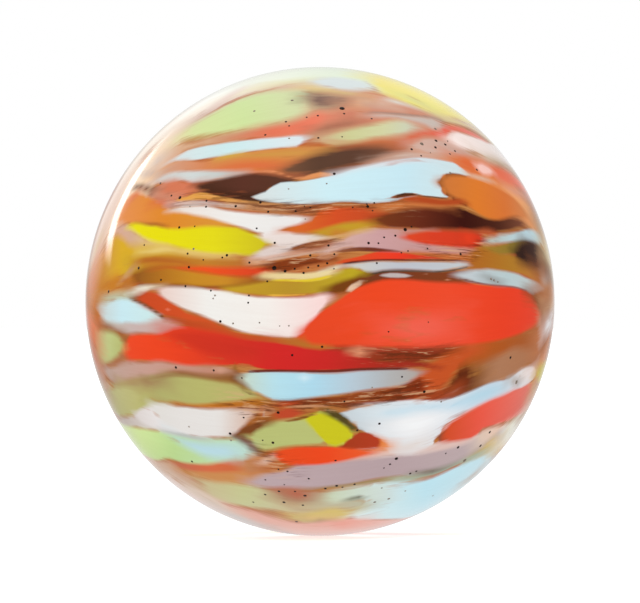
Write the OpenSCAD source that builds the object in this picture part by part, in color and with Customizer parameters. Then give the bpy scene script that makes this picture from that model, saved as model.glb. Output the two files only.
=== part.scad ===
// Glass marble: one solid ball of amber glass, with long streaks of coloured glass drawn out
// along its X axis. They lie just under the surface, one over the other, and are fused with it.
// The front is -Y and up is +Z, with the origin at the ball's centre. Sizes are in millimetres.

/* [Ball] */
// Diameter of the ball
ball_d = 25; // [14:1:50]

/* [Streaks] */
// Depth of the topmost streak below the surface
skin = 0.05; // [0.03:0.01:0.2]
// Depth from one streak to the next one under it
layer = 0.012; // [0.01:0.001:0.02]

/* [Streaks of the back] */
// Rows of streaks round the back
back_rows = 16; // [8:1:16]
// Turn from one row to the next, in degrees
back_pitch = 11; // [8:0.5:11]
// Half length of the shortest back streak, in degrees along the ball
back_half = 17; // [10:0.5:20]
// Added half length of the longest one, in degrees
back_half_more = 9; // [0:0.5:12]
// Half width of the narrowest back streak, in degrees round the ball
back_wide = 3.4; // [1.5:0.1:4]
// Added half width of the widest one, in degrees
back_wide_more = 3.2; // [0:0.1:4]
// Distance between neighbours along a row, in degrees
back_apart = 44; // [36:1:46]

/* [Hidden] */
r = ball_d / 2;
leaf = layer * 0.7;
round_fn = 96;

// Glass colours
ice = [0.80, 0.92, 0.95];
white = [0.94, 0.92, 0.90];
grey = [0.76, 0.79, 0.81];
mauve = [0.79, 0.66, 0.66];
mint = [0.80, 0.89, 0.62];
olive = [0.72, 0.70, 0.42];
yellow = [0.92, 0.88, 0.10];
gold = [0.87, 0.70, 0.20];
cream = [0.90, 0.80, 0.58];
ochre = [0.72, 0.45, 0.16];
orange = [0.87, 0.50, 0.19];
salmon = [0.88, 0.49, 0.36];
red = [0.94, 0.28, 0.14];
crimson = [0.82, 0.18, 0.15];
rust = [0.60, 0.27, 0.13];
brown = [0.37, 0.22, 0.16];
dark = [0.22, 0.12, 0.09];
pink = [0.98, 0.88, 0.85];

// Streaks of the front. Each station is [along, upper edge, lower edge] in degrees: along runs
// from -90 at the left end of the X axis to 90 at its right end, and the edges are turns about
// that axis, 0 at the front and 90 at the top. A later streak lies over an earlier one.
FRONT = [
  [mint, [[-36, 60.5, 58], [-29, 62.3, 52.6], [-19, 65, 49.8], [-9, 64.5, 49.4], [-1.2, 57, 54.5]]],
  [salmon, [[-24, 48.6, 47], [-15, 48.1, 45], [-6, 48.9, 44.4], [0, 52.5, 47.5], [1.5, 51.5, 49.5]]],
  [grey, [[-3, 69, 67.5], [-1, 71, 65.6], [7, 72, 63.1], [10, 71.5, 63.9], [13, 69, 67]]],
  [gold, [[12, 80, 72], [16, 82, 65.5], [23, 84, 65], [30, 86, 66], [38, 86, 72], [42, 86, 78]]],
  [brown, [[-3.5, 60.5, 57.5], [1, 61.3, 53.9], [6.5, 59.8, 56], [9, 59, 58.4]]],
  [olive, [[-0.5, 44, 42.5], [6, 46.4, 41.5], [14, 50.6, 44.6], [21, 54.6, 48.4], [24, 54, 52]]],
  [grey, [[11, 53, 52], [18, 55.8, 54], [26, 59.8, 55.5], [30, 62, 56], [31, 61, 58]]],
  [salmon, [[18, 45.5, 42], [24, 51.5, 48], [30, 56.5, 52.5], [34, 63.5, 60], [45, 73, 70.5]]],
  [pink, [[31.5, 54, 52.8], [35, 61, 52.5], [41, 67, 56.5], [45, 73, 60], [51, 84, 69], [56, 84, 78]]],
  [mauve, [[21.5, 45.5, 43.2], [27, 50.6, 43.5], [33, 52.6, 46.8], [39, 54, 51.5]]],
  [salmon, [[34, 47, 44.6], [40, 52.5, 44], [47, 57, 46], [53, 66.2, 50], [59, 77.5, 62], [65, 86, 80]]],
  [pink, [[40.3, 50.3, 48.6], [42, 52.6, 46.6], [44, 54.2, 47], [47, 53.6, 52.4]]],
  [ice, [[-42, 50.5, 49], [-34, 49.6, 45.6], [-26, 47, 42.2], [-14, 44.5, 40.8], [-5, 44.1, 40.8],
    [-3, 44, 43]]],
  [orange, [[-40, 46, 43], [-30, 42.5, 39], [-22, 40.8, 36.3], [-14, 40, 34.3], [-1, 40, 34]]],
  [grey, [[-48, 47, 45.8], [-40, 44.3, 40.8], [-32, 39.8, 36], [-24, 36.6, 34.2], [-17, 34.6, 34.3]]],
  [salmon, [[-45, 43.5, 41], [-38, 40.5, 34], [-33, 36.2, 32.3], [-31, 35, 32.5]]],
  [brown, [[-10, 33.2, 32.8], [-5, 36, 32], [1, 38.2, 32.7], [10, 40.5, 36], [19, 42.5, 39.8]]],
  [brown, [[-33, 35.3, 34.9], [-28, 34.5, 30.9], [-20, 34, 26.7], [-12, 32.8, 24.6], [-5, 30.4, 29.8]]],
  [gold, [[-37, 32.6, 31.6], [-31, 32, 29.6], [-25, 29, 27.6], [-17, 25.9, 24.6], [-8, 24.2, 23.4]]],
  [ice, [[-17.5, 27.3, 26.9], [-12.5, 28.8, 25.1], [-5, 30.1, 24.1], [4, 31.8, 24.6], [11, 35, 24.9],
    [18, 38, 27.2], [25, 41.7, 29], [31, 43.5, 30.4], [36, 44, 41.5]]],
  [orange, [[29.3, 35.5, 33], [31, 38.8, 32], [36, 41.4, 31.4], [42, 43, 29.3], [48, 44.8, 30.5],
    [54, 51, 36], [58, 50, 41]]],
  [pink, [[37, 43.9, 42], [42, 45.8, 43], [46, 48, 45.4], [47.7, 48.5, 47.6]]],
  [orange, [[-56, 42, 35], [-52, 47, 32.5], [-48, 42, 29], [-40, 30, 23.4], [-32, 25.4, 21],
    [-21, 20, 19.2]]],
  [mauve, [[-40, 33, 30.5], [-33, 30.3, 28.4], [-26, 27.6, 26.2], [-19, 25, 24.5]]],
  [white, [[-40, 30, 29.3], [-32, 28, 25.2], [-24, 25.3, 21.3], [-16, 23, 17.6], [-9, 21.4, 17.4],
    [-1, 20.2, 20]]],
  [white, [[-15, 16.5, 15.6], [-12, 17.5, 13.9], [-6, 16.7, 12.8], [3, 15.4, 14.8]]],
  [mauve, [[-17, 11, 10.6], [-12, 13.9, 10.4], [-7, 14.2, 12], [-5, 14, 13.4]]],
  [mauve, [[-61, 37.5, 36], [-56, 36, 28.2], [-52, 29, 22.4], [-45, 20.8, 18.8], [-42, 18.9, 17.6]]],
  [gold, [[-66, 20, 12], [-60, 33, 12], [-56, 28.2, 12.8], [-50, 21.2, 16], [-42, 17.5, 14.8],
    [-36, 15.6, 13.6]]],
  [cream, [[-50, 19.5, 17.5], [-40, 18.2, 15.2], [-32, 14.6, 12.6], [-20, 12.2, 11]]],
  [yellow, [[-53.5, 32.5, 31.5], [-48, 29, 24], [-40, 23.6, 18.4], [-30, 21, 14], [-20, 18.9, 12.2],
    [-16.5, 17, 11.3], [-12.3, 14.6, 13.9]]],
  [ochre, [[-50, 10.5, 8], [-44, 11.4, 5.7], [-35, 9.4, 5], [-25, 7.2, 4.1], [-14, 5.6, 5]]],
  [red, [[-42, 11.4, 10.9], [-35, 10.4, 9.2], [-25, 9.2, 7], [-18, 8.6, 6.1], [-12, 8, 7.6]]],
  [rust, [[-14, 8.8, 8.2], [-9, 9.9, 7], [0, 14.4, 9], [3, 14.6, 9.8]]],
  [cream, [[-15.7, 6.2, 6], [-14, 7.1, 5.4], [-5, 6.9, 5], [0, 7.4, 5.3], [4, 8.7, 6.6]]],
  [olive, [[-24, 3.8, 3], [-14, 5, 1.6], [-5, 4.9, 1.6], [2, 6, 2.6], [7, 7.9, 5], [10.5, 7, 6]]],
  [orange, [[-9.5, 17.4, 17.1], [-3, 19.2, 16.7], [0, 22, 17.3], [8, 23.2, 19.6], [17, 22, 21]]],
  [gold, [[-1, 17.8, 15.9], [4, 18.6, 15.6], [8, 19.5, 17.3], [12, 19.8, 18]]],
  [mauve, [[-1, 12.3, 10.9], [4, 14.4, 12.2], [8, 16.6, 12.9], [14, 18.7, 12.4], [20, 19, 12.6],
    [27, 15.6, 13.1], [38, 16.6, 14.3]]],
  [rust, [[15, 25, 23.4], [22, 27.9, 25], [31, 29.6, 27.4], [38, 32, 31]]],
  [dark, [[12, 20.6, 19.9], [17, 22.8, 18.9], [27, 26, 19.8], [38, 29, 22], [45, 28.8, 25],
    [52, 34, 29.2], [60, 40, 38.6]]],
  [red, [[19.5, 16.7, 16.3], [25, 18.5, 15.4], [33, 20.5, 15.9], [39, 21.8, 16.8], [42.6, 21.3, 20.4]]],
  [ice, [[41, 19.5, 18.3], [45, 22.3, 19.3], [52, 29, 23.3], [60, 37.7, 31], [67, 44, 39.6]]],
  [ochre, [[37.5, 14, 10.8], [43, 18.2, 10.8], [53, 19, 12], [63, 20.2, 12], [70, 26, 11.5]]],
  [olive, [[43, 18.6, 18], [49, 21.2, 17.5], [54.5, 25.6, 20.5], [60, 31, 28]]],
  [dark, [[54.8, 21.5, 20.3], [58, 27.5, 18.6], [64, 34.8, 20.8], [69.3, 36, 29]]],
  [grey, [[0, 7.7, 6.8], [5, 9, 7.8], [12, 10, 6.8], [20, 10.4, 7.9], [30, 11.4, 8.1], [39.5, 11.8, 10.8]]],
  [red, [[3, 9.1, 8.8], [8, 10.5, 9.6], [14, 12.2, 10.2], [22, 12.3, 10.7], [33, 12, 11.7]]],
  [grey, [[33, 8.4, 7.6], [40, 9.9, 6.1], [50, 11.4, 6], [60, 11.3, 5.4], [70.5, 9.6, 8.8]]],
  [white, [[13.4, 6.5, 6.2], [18, 7.4, 5.7], [23.3, 6.8, 6.4]]],
  [white, [[-44, 4.4, 3.8], [-39, 5, -0.2], [-32, 4.3, -3.9], [-20, 2, -8], [-6.5, 1.3, -9.1],
    [-2, 1.6, -5], [3.8, 1.6, 0.6]]],
  [red, [[-49, 2.9, -1], [-43, 2.6, -3.3], [-37, -1.2, -4.6], [-27, -5.5, -6.4]]],
  [red, [[-1.8, -6.4, -8.6], [3, -0.1, -10.4], [10, 3.6, -10.7], [20, 5.6, -11.6], [36, 5.5, -13],
    [52, 5.6, -14.2], [62, 3.6, -14.2], [67.9, -7.5, -10.5]]],
  [ice, [[-69, -3, -5.5], [-64.5, -0.3, -11.9], [-57, 1.6, -9.6], [-49, -0.6, -7.3], [-42, -4.8, -5.6]]],
  [mauve, [[-62, -11.8, -12.4], [-54, -8.6, -13.2], [-46, -6.7, -11], [-37.5, -6.7, -7.6]]],
  [red, [[-54.8, -20, -23.5], [-52, -13.5, -23.5], [-42, -10.6, -19.4], [-33, -7.4, -18.4],
    [-18, -9.5, -15.6]]],
  [crimson, [[-20, -9.2, -16.2], [-9, -10.3, -16.8], [4, -11.6, -16.8], [20, -15.4, -16.9],
    [30, -18.2, -18.9]]],
  [rust, [[4, -10.8, -11.8], [12, -11.2, -14.8], [27, -12.3, -15.9], [35, -13.2, -14.2]]],
  [ice, [[-19.2, -19, -20.2], [-12.5, -17.2, -25], [0, -17.1, -23.4], [15, -16.8, -22.1],
    [27.5, -19.3, -19.7]]],
  [ochre, [[26, -19.5, -20.5], [34, -14, -24], [48, -14, -20], [60, -14.2, -24], [68, -12, -30]]],
  [cream, [[42, -22, -27], [50, -19.8, -30.4], [60, -23, -35.5], [70, -33, -50]]],
  [mint, [[-70, -24, -44], [-66, -17.6, -40], [-60, -15.3, -28.6], [-55.7, -19, -20.6]]],
  [mauve, [[-66, -41.5, -46], [-58, -30.3, -39.5], [-46, -21.1, -26.8], [-34, -18.6, -20.5],
    [-22.5, -18, -18.9]]],
  [olive, [[-46, -26.6, -35], [-36, -22.2, -31.4], [-24, -21.4, -27.3], [-14, -24.4, -24.8]]],
  [orange, [[-36, -31.2, -31.6], [-26, -28, -29.3], [-15, -24.4, -27], [-13, -24.8, -26]]],
  [rust, [[-10, -24.9, -25.4], [0, -23.5, -25.2], [10, -22.4, -25.4], [24.5, -20.5, -24.6]]],
  [rust, [[21, -25, -26], [29, -22, -28.3], [38, -20, -29]]],
  [white, [[-50, -43.5, -49.5], [-42, -34.7, -46.8], [-30, -30.7, -41], [-23, -28.7, -37.8],
    [-18, -27.5, -32.8], [-14.5, -27.3, -28]]],
  [mint, [[-17.3, -34.8, -36], [-13, -31.4, -39.6], [-6, -29.1, -37], [0.5, -27.2, -36.5]]],
  [yellow, [[-3, -29.2, -32], [0.5, -27.2, -36.4], [5, -30.3, -36.2], [8, -34, -34.8]]],
  [crimson, [[6.5, -33, -36.8], [11, -34.2, -38], [13.6, -35.8, -38]]],
  [ice, [[2.2, -27.2, -27.8], [9, -25.9, -32.8], [15, -25.4, -38.5], [25, -27, -44], [31, -28.9, -37.9],
    [41, -28.8, -36.2], [52, -31.5, -39.5], [61, -33.9, -47], [66, -43, -52]]],
  [mauve, [[-18, -52, -53.2], [-12, -47, -53], [-2, -42.5, -51.7], [12, -42, -49.5], [26, -44.4, -53.3],
    [36, -47.6, -55.6], [50, -57, -67]]],
  [red, [[-11.2, -39.6, -40.4], [-6, -37.4, -42.6], [2, -36.7, -42], [13.5, -39.4, -39.9]]],
  [red, [[28, -40, -40.8], [34, -36.7, -45.6], [46, -36.8, -48.6], [54, -40.4, -57.8], [61, -46.4, -71],
    [65.5, -56, -84]]],
  [mint, [[-46, -49, -66], [-40, -45.6, -59.6], [-32, -42, -53.6], [-28, -40.4, -50.8]]],
  [ice, [[-31, -43, -51.4], [-25, -39.3, -48.3], [-19.5, -38, -44.8], [-16.3, -40.8, -41.3]]],
  [salmon, [[-38, -58.6, -61.5], [-29, -52, -54.4], [-20.5, -45.4, -48.8], [-18.2, -45.9, -47.4]]],
  [orange, [[-37, -61, -63.5], [-30, -55.2, -59], [-22, -49.8, -55], [-16, -48, -51]]],
  [cream, [[-30, -60, -66], [-22, -55.2, -67], [-14, -54, -64], [-7, -60, -62]]],
  [ice, [[7, -64, -66], [12, -53, -70], [23, -54.8, -83], [33, -57.2, -88], [42, -61.6, -86],
    [46, -66, -84]]],
  [gold, [[-6, -64.5, -67], [0, -61, -66.5], [8, -62, -64]]],
  [salmon, [[-22, -68, -74], [-12, -68, -84], [5, -67.6, -85], [19, -78, -84]]],
  [mint, [[-66, -72, -85], [-60, -48.5, -69], [-54, -39.5, -54.5], [-45.5, -36, -40]]],
];

// Streaks of the back follow a rule: rows round the ball, three long streaks to a row, each
// shifted and sized by the fractional part of a multiple of its number.
back_from = 93;
BACK_GLASS = [ice, red, gold, mauve, ochre, white, brown, mint, salmon, yellow, orange, grey];
function part_of(x) = x - floor(x);
function lens(n) =
  let (row = floor(n / 3),
    mid = back_from + back_pitch * row + 3 * part_of(n * 0.414),
    along = back_apart * (n % 3 - 1) + back_apart / 2 * (part_of(row * 0.618) - 0.5),
    half = back_half + back_half_more * part_of(n * 0.732),
    wide = back_wide + back_wide_more * part_of(n * 0.571),
    slant = 0.16 * (part_of(n * 0.236) - 0.5))
  [for (t = [-1, -0.6, 0, 0.6, 1])
    [along + half * t, mid + slant * half * t + wide * (1.04 - t * t),
      mid + slant * half * t - wide * (1.04 - t * t)]];
BACK = [for (n = [0 : 3 * back_rows - 1])
  [BACK_GLASS[(n * 5) % len(BACK_GLASS)], lens(n)]];

STREAKS = concat(BACK, FRONT);

// A point of an outline, flattened along the line of sight from the streak's own middle
function flat(along, turn) = [r * sin(along), r * cos(along) * sin(turn)];

module streak(stations, depth) {
  middle = (stations[1][1] + stations[1][2] + stations[len(stations) - 2][1]
    + stations[len(stations) - 2][2]) / 4;
  upper = [for (s = stations) flat(s[0], s[1] - middle)];
  lower = [for (k = [len(stations) - 1 : -1 : 0]) flat(stations[k][0], stations[k][2] - middle)];
  intersection() {
    rotate([-middle, 0, 0])
      rotate([90, 0, 0])
        linear_extrude(r + 1)
          polygon(concat(upper, lower));
    difference() {
      sphere(r - depth, $fn = round_fn);
      sphere(r - depth - leaf, $fn = round_fn);
    }
  }
}

module marble() {
  color([0.75, 0.46, 0.22, 0.35])
    sphere(r, $fn = round_fn);
  for (k = [0 : len(STREAKS) - 1])
    color(STREAKS[k][0])
      streak(STREAKS[k][1], skin + layer * (len(STREAKS) - 1 - k));
}

marble();
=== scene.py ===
import math

import bpy
import numpy as np
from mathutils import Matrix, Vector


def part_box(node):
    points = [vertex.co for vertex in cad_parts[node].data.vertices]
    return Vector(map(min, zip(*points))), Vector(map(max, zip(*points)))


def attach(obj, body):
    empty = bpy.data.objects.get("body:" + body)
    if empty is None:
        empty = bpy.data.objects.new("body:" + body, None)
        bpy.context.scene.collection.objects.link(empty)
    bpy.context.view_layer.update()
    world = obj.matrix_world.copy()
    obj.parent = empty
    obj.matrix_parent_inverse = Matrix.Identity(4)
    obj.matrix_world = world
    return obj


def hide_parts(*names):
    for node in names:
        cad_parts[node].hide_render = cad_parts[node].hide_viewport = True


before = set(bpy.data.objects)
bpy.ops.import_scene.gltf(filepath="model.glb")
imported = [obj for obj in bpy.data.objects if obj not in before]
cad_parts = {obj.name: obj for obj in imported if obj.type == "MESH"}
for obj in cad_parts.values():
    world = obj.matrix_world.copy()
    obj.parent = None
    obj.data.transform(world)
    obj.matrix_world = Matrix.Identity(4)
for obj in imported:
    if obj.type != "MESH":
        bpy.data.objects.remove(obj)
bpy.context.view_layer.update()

# The ball. One solid ball of glass, gathered hot on a rod, rolled over chips of coloured glass
# and drawn out, so that every chip becomes a long streak between the two ends of the X axis.
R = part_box("marble")[1][0] * 1000          # radius, mm
MM_PER_DEGREE = R * math.pi / 180
RINGS = 96                                 # steps along the axis
TURNS_FRONT, TURNS_BACK = 600, 436         # steps round it, closer together over the front

# Places are in degrees: along the axis from -90 at the left to 90 at the right, and the turn
# round it, 0 at the front, 90 at the top, 180 at the back and -90 below
along = np.linspace(-90, 90, RINGS + 1)[1:-1]
cos_along = np.cos(np.radians(along))
turn = np.concatenate([np.linspace(-90, 90, TURNS_FRONT, endpoint=False),
                       np.linspace(90, 270, TURNS_BACK, endpoint=False)])
shape = (len(along), len(turn))


def smooth(x, xs, ys):
    """A smooth curve through given points, level beyond its ends."""
    lean = np.gradient(ys, xs)
    k = np.clip(np.searchsorted(xs, x) - 1, 0, len(xs) - 2)
    h = xs[k + 1] - xs[k]
    t = np.clip((x - xs[k]) / h, 0, 1)
    return (ys[k] * (1 + 2 * t) * (1 - t) ** 2 + lean[k] * h * t * (1 - t) ** 2
            + ys[k + 1] * t * t * (3 - 2 * t) + lean[k + 1] * h * t * t * (t - 1))


def linear(rgb):
    """A colour as the shader wants it, from the 0 to 255 that a screen shows."""
    c = np.array(rgb, float) / 255
    return np.where(c <= 0.04045, c / 12.92, ((c + 0.055) / 1.055) ** 2.4)


RIM, RIM_SHARE = 0.09, 0.15        # the ground creeps over a streak's rim: mm, share of its width
PALE = 0.6                         # brightness from which that is all of RIM
TIP_SLOPE, TIP_START = 0.6, 0.4    # how a streak's end narrows to its tip, and degrees at it
TIP_ROUND = 1.6                    # degrees over which its side and its end run together
CRISP = 0.09                       # mm, the widest edge that keeps its width all the way along
SPREAD, END_FADE = 1.25, 3.5       # how far wider edges spread, and degrees over which they grow
FAR = 6                            # edge widths past which a level stays the same


class Streak:
    """A drawn-out chip, and also the few painted highlights and reflections laid like one.
    Stations are [along, upper edge, lower edge] in degrees, soft is the width over which its edge
    fades, in mm, and its colours run from its left end to its right."""

    def __init__(self, soft, colours, stations):
        self.soft = soft
        self.colours = np.array([linear(c) for c in colours])
        place, up, low = np.array(stations, float).T
        self.ends = place[0], place[-1]
        upper, lower = smooth(along, place, up), smooth(along, place, low)
        self.width = upper - lower
        self.middle = (upper + lower) / 2
        self.to_end = np.minimum(along - self.ends[0], self.ends[1] - along)
        self.inset = min(RIM * min(self.colours.min(1).mean() / PALE, 1),
                         RIM_SHARE * (up - low).max() * MM_PER_DEGREE)
        self.lean = np.gradient(self.middle, along)
        self.spread = np.gradient(self.width, along) / 2

    def off_middle(self, turns):
        """How far each point of the ball is turned from its middle line."""
        return (turns - self.middle[:, None] + 180) % 360 - 180

    def depth(self, turns):
        """How far inside its edge each point of the ball is, in mm, with rounded ends."""
        across = cos_along / np.sqrt(1 + (self.lean * cos_along) ** 2)
        side = (self.width[:, None] / 2 - np.abs(self.off_middle(turns))) * across[:, None]
        end = TIP_SLOPE * self.to_end[:, None] + TIP_START
        h = np.clip(0.5 + 0.5 * (end - side) / TIP_ROUND, 0, 1)
        return (end * (1 - h) + side * h - TIP_ROUND * h * (1 - h)) * MM_PER_DEGREE

    def level(self, turns):
        """Its depth in widths of its edge, which fades further towards its ends."""
        fade = np.full(len(along), self.soft)
        if self.soft > CRISP:
            fade *= SPREAD * (1 + np.exp(-np.maximum(self.to_end, 0) / END_FADE))
        level = (self.depth(turns) - self.inset) / fade[:, None]
        return np.clip(level, -FAR, FAR).astype(np.float32)

    def rgb(self):
        """Its colour at each step along the ball."""
        t = (along - self.ends[0]) / (self.ends[1] - self.ends[0])
        stops = np.linspace(0, 1, len(self.colours))
        return np.stack([np.interp(t, stops, shade) for shade in self.colours.T], 1)


streaks = []


def streak(soft, colours, stations):
    """Lays a streak on the ball, over those that lie there already."""
    streaks.append(Streak(soft, colours, stations))


# Streaks of the back, which the photograph doesn't show: the same glasses, laid in belts round
# the ball and shuffled, each with uneven edges, and thin threads drawn between them.
BACK_BELTS = [(-66, 9), (-40, 12), (-12, 14), (15, 14), (41, 12), (66, 9)]     # along, chips
BACK_FROM, BACK_ROUND = 90, 180                     # degrees of turn
CHIP_HALF = (15, 27)                                # half a chip's length, degrees
END_BELT, END_CHIP_HALF = 60, (9, 18)               # where the belts of the ends begin, and theirs
CHIP_STRAY, CHIP_PLACE = 6, (0.2, 0.8)              # degrees along, and share of its place round
CHIP_WIDE, CHIP_SOFT = (0.38, 0.75), (0.06, 0.3)    # share of its place, and mm of edge
CHIP_STATIONS = (-1, -0.85, -0.6, -0.3, 0, 0.3, 0.6, 0.85, 1)
CHIP_BLUNT, CHIP_TIP = (1.3, 4.5), 0.04             # powers of its outline, share left at its tip
CHIP_LEAN, CHIP_BOW, CHIP_WAVE = 0.1, 2, 0.3        # slope, degrees, share of its width
THREADS, THREAD_SOFT, THREAD_WIDE = 80, 0.07, (0.35, 1.4)     # number, mm, degrees
THREAD_FROM, THREAD_TO = (-64, 92, 6, 0), (64, 268, 17, 1)    # along, turn, half length, draw
BACK_GLASS = [
    [(205, 232, 244), (214, 240, 250)], [(238, 74, 38), (225, 58, 30)],
    [(222, 172, 52), (205, 140, 50)], [(200, 176, 178), (190, 165, 168)],
    [(176, 98, 40), (205, 120, 44)], [(238, 228, 224), (246, 242, 240)],
    [(96, 52, 34), (70, 42, 30)], [(205, 228, 158), (196, 222, 150)],
    [(236, 130, 100), (226, 112, 80)], [(236, 226, 24), (214, 196, 30)],
    [(228, 125, 46), (215, 104, 36)], [(226, 220, 206), (206, 222, 224)],
    [(243, 92, 60), (236, 64, 34)], [(240, 236, 236), (214, 234, 244)]]
BACK_DEALS = 12                                     # times that all the glasses are dealt out
roll = np.random.default_rng(11)
back_order = [k for _ in range(BACK_DEALS) for k in roll.permutation(len(BACK_GLASS))]


def back_streak(centre, middle, half, wide, soft):
    """A chip with uneven edges, one end of it blunter than the other."""
    left, right = roll.uniform(*CHIP_BLUNT, 2)
    lean, bow, wave = roll.uniform((-CHIP_LEAN, -CHIP_BOW, 0), (CHIP_LEAN, CHIP_BOW, 6.3))
    stations = []
    for t in CHIP_STATIONS:
        line = middle + lean * half * t + bow * (1 - t * t)
        body = wide * (1 + CHIP_TIP - abs(t) ** (left if t < 0 else right))
        stations.append([centre + half * t,
                         line + body * (1 + CHIP_WAVE * math.sin(wave + 3 * t)),
                         line - body * (1 + CHIP_WAVE * math.sin(wave + 2 + 4 * t))])
    streak(soft, BACK_GLASS[back_order.pop()], stations)


back_places = [(centre, BACK_FROM + BACK_ROUND / chips * (k + roll.uniform(*CHIP_PLACE)),
                BACK_ROUND / chips) for centre, chips in BACK_BELTS for k in range(chips)]
for k in roll.permutation(len(back_places)):
    centre, middle, pitch = back_places[k]
    half = roll.uniform(*(CHIP_HALF if abs(centre) < END_BELT else END_CHIP_HALF))
    back_streak(centre + roll.uniform(-CHIP_STRAY, CHIP_STRAY), middle, half,
                pitch * roll.uniform(*CHIP_WIDE), roll.uniform(*CHIP_SOFT))
for centre, middle, half, draw in roll.uniform(THREAD_FROM, THREAD_TO, (THREADS, 4)):
    wide = (THREAD_WIDE[0] + THREAD_WIDE[1] * draw ** 3) / math.cos(math.radians(centre))
    back_streak(centre, middle, half, wide, THREAD_SOFT)

# Streaks of the top, from the upper rim down to the long pale blue one: mint, salmon and mauve
# glass that lies deeper, so its edges are soft.
streak(.6, [(212, 138, 108)], [
    [-12, 56, 44], [-4, 58, 44], [4, 62, 44], [12, 64, 44], [22, 62, 44], [30, 58, 45]])
streak(.4, [(200, 112, 68)], [
    [8, 42, 36], [13, 44.5, 37], [18, 46, 39], [22, 47.5, 40.5], [26, 50, 42]])
# A painted highlight: the pale glare on the upper left rim.
streak(.5, [(252, 220, 185)], [[-62, 60, 38], [-54, 64, 40], [-46, 63, 42], [-38, 66, 58]])
streak(.5, [(228, 185, 160), (235, 205, 185)], [
    [-80, 64, 30], [-70, 66, 34], [-60, 70, 48], [-52, 74, 62]])
streak(.5, [(232, 210, 185), (248, 238, 222)], [
    [-56, 84, 68], [-48, 92, 67], [-40, 90, 67], [-33, 86, 67], [-27, 84, 67.5], [-22, 82, 71]])
streak(.5, [(215, 190, 170), (230, 200, 190)], [
    [-38, 70, 62], [-34, 69, 62], [-30, 66.6, 62.2], [-26, 68.5, 63.5], [-23, 69, 65],
    [-20, 69, 67]])
streak(.4, [(242, 234, 202)], [
    [-22.6, 69.4, 67.4], [-19, 72, 66.8], [-14, 73, 67.2], [-10, 72.6, 68.6]])
streak(.3, [(240, 208, 202)], [
    [-26, 68.6, 66.4], [-23.4, 71.4, 67.6], [-21, 74, 69.6], [-18.6, 77, 73], [-17, 79, 76.6]])
streak(.4, [(215, 180, 150)], [[-13, 67, 65], [-8, 68, 64], [-3, 67, 65]])
streak(.4, [(225, 220, 165)], [[-12, 73, 69], [-7, 74, 68], [-2, 73, 69]])
streak(.6, [(255, 253, 246), (240, 246, 226), (218, 236, 208)], [
    [-33, 86, 76], [-26, 94, 73], [-18, 99, 72], [-8, 95, 70], [2, 102, 70], [10, 93, 70.5],
    [13, 88, 72]])
# The long mint streak
streak(.4, [(222, 232, 165), (208, 228, 160), (212, 215, 170)], [
    [-36, 60.5, 58], [-33, 61.8, 55], [-29, 62.3, 52.6], [-24, 63.6, 51], [-19, 65, 49.8],
    [-14, 65.2, 49.3], [-9, 64.5, 49.4], [-5, 62.8, 50.8], [-2.5, 60, 52.6], [-1.2, 57, 54.5]])
streak(.3, [(225, 180, 145), (205, 160, 125)], [
    [-40, 57, 51], [-36, 55, 50.8], [-32, 52, 49.5], [-28, 50.6, 48], [-24, 49, 46.9],
    [-20, 48.3, 46]])
streak(.25, [(205, 135, 100), (228, 118, 88), (238, 128, 100)], [
    [-24, 48.6, 47], [-20, 48, 46], [-15, 48.1, 45], [-10, 48.3, 44.3], [-6, 48.9, 44.4],
    [-3, 50.6, 45], [0, 52.5, 47.5], [1.5, 51.5, 49.5]])
streak(.3, [(215, 225, 225)], [
    [-3, 69, 67.5], [-1, 71, 65.6], [3, 72, 64], [7, 72, 63.1], [10, 71.5, 63.9], [13, 69, 67]])
streak(.3, [(230, 205, 130), (205, 178, 125)], [
    [-4, 68, 65], [-2, 66.5, 62.5], [2, 64, 61], [6, 63, 60.2], [10, 63.4, 60.5]])
streak(.3, [(120, 90, 78), (135, 104, 92)], [
    [-3.5, 60.5, 57.5], [-1.5, 61.5, 54.5], [1, 61.3, 53.9], [4, 60.4, 54.4], [6.5, 59.8, 56],
    [9, 59, 58.4]])
streak(.4, [(218, 158, 118)], [
    [6, 57, 55], [8, 60, 53], [10, 62.5, 52], [12, 63, 57], [15, 63, 62]])
streak(.3, [(205, 125, 100)], [[5, 52, 49.5], [7, 54, 49.8], [9, 55, 49.6], [10, 54, 50]])
streak(.3, [(160, 105, 82)], [
    [-1.5, 46, 44.6], [1, 47.3, 44.8], [4, 48.8, 46], [7, 49.8, 47.5], [9.5, 50.2, 48.8]])
streak(.25, [(205, 180, 140), (205, 205, 150), (212, 212, 165), (205, 210, 190)], [
    [-0.5, 44, 42.5], [2, 44.7, 41.4], [6, 46.4, 41.5], [10, 48.3, 42.6], [14, 50.6, 44.6],
    [18, 53.2, 46.2], [21, 54.6, 48.4], [24, 54, 52]])
streak(.2, [(205, 190, 180)], [
    [11, 53, 52], [14, 54.4, 52.5], [18, 55.8, 54], [22, 57.5, 54.8], [26, 59.8, 55.5],
    [30, 62, 56], [31, 61, 58]])
streak(.25, [(205, 150, 128), (212, 145, 118)], [
    [12, 57.8, 55.2], [16, 58.8, 56.2], [20, 60.6, 57.7], [24, 61.8, 59.6], [28, 62.6, 62]])
streak(.12, [(140, 120, 108)], [
    [11, 53.8, 53], [13, 54.8, 54], [16, 55.7, 54.9], [20, 57.4, 56.2], [24, 59.3, 58.2],
    [28, 62, 60.7], [31, 63.4, 62.2]])
streak(.3, [(218, 195, 175)], [[12, 59, 57.5], [15, 60, 57.8], [18, 60.2, 59]])
streak(.2, [(225, 220, 208)], [
    [15.3, 62.8, 60.6], [17, 63.8, 60.6], [20, 63.8, 61.2], [23, 63.5, 62]])
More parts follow.
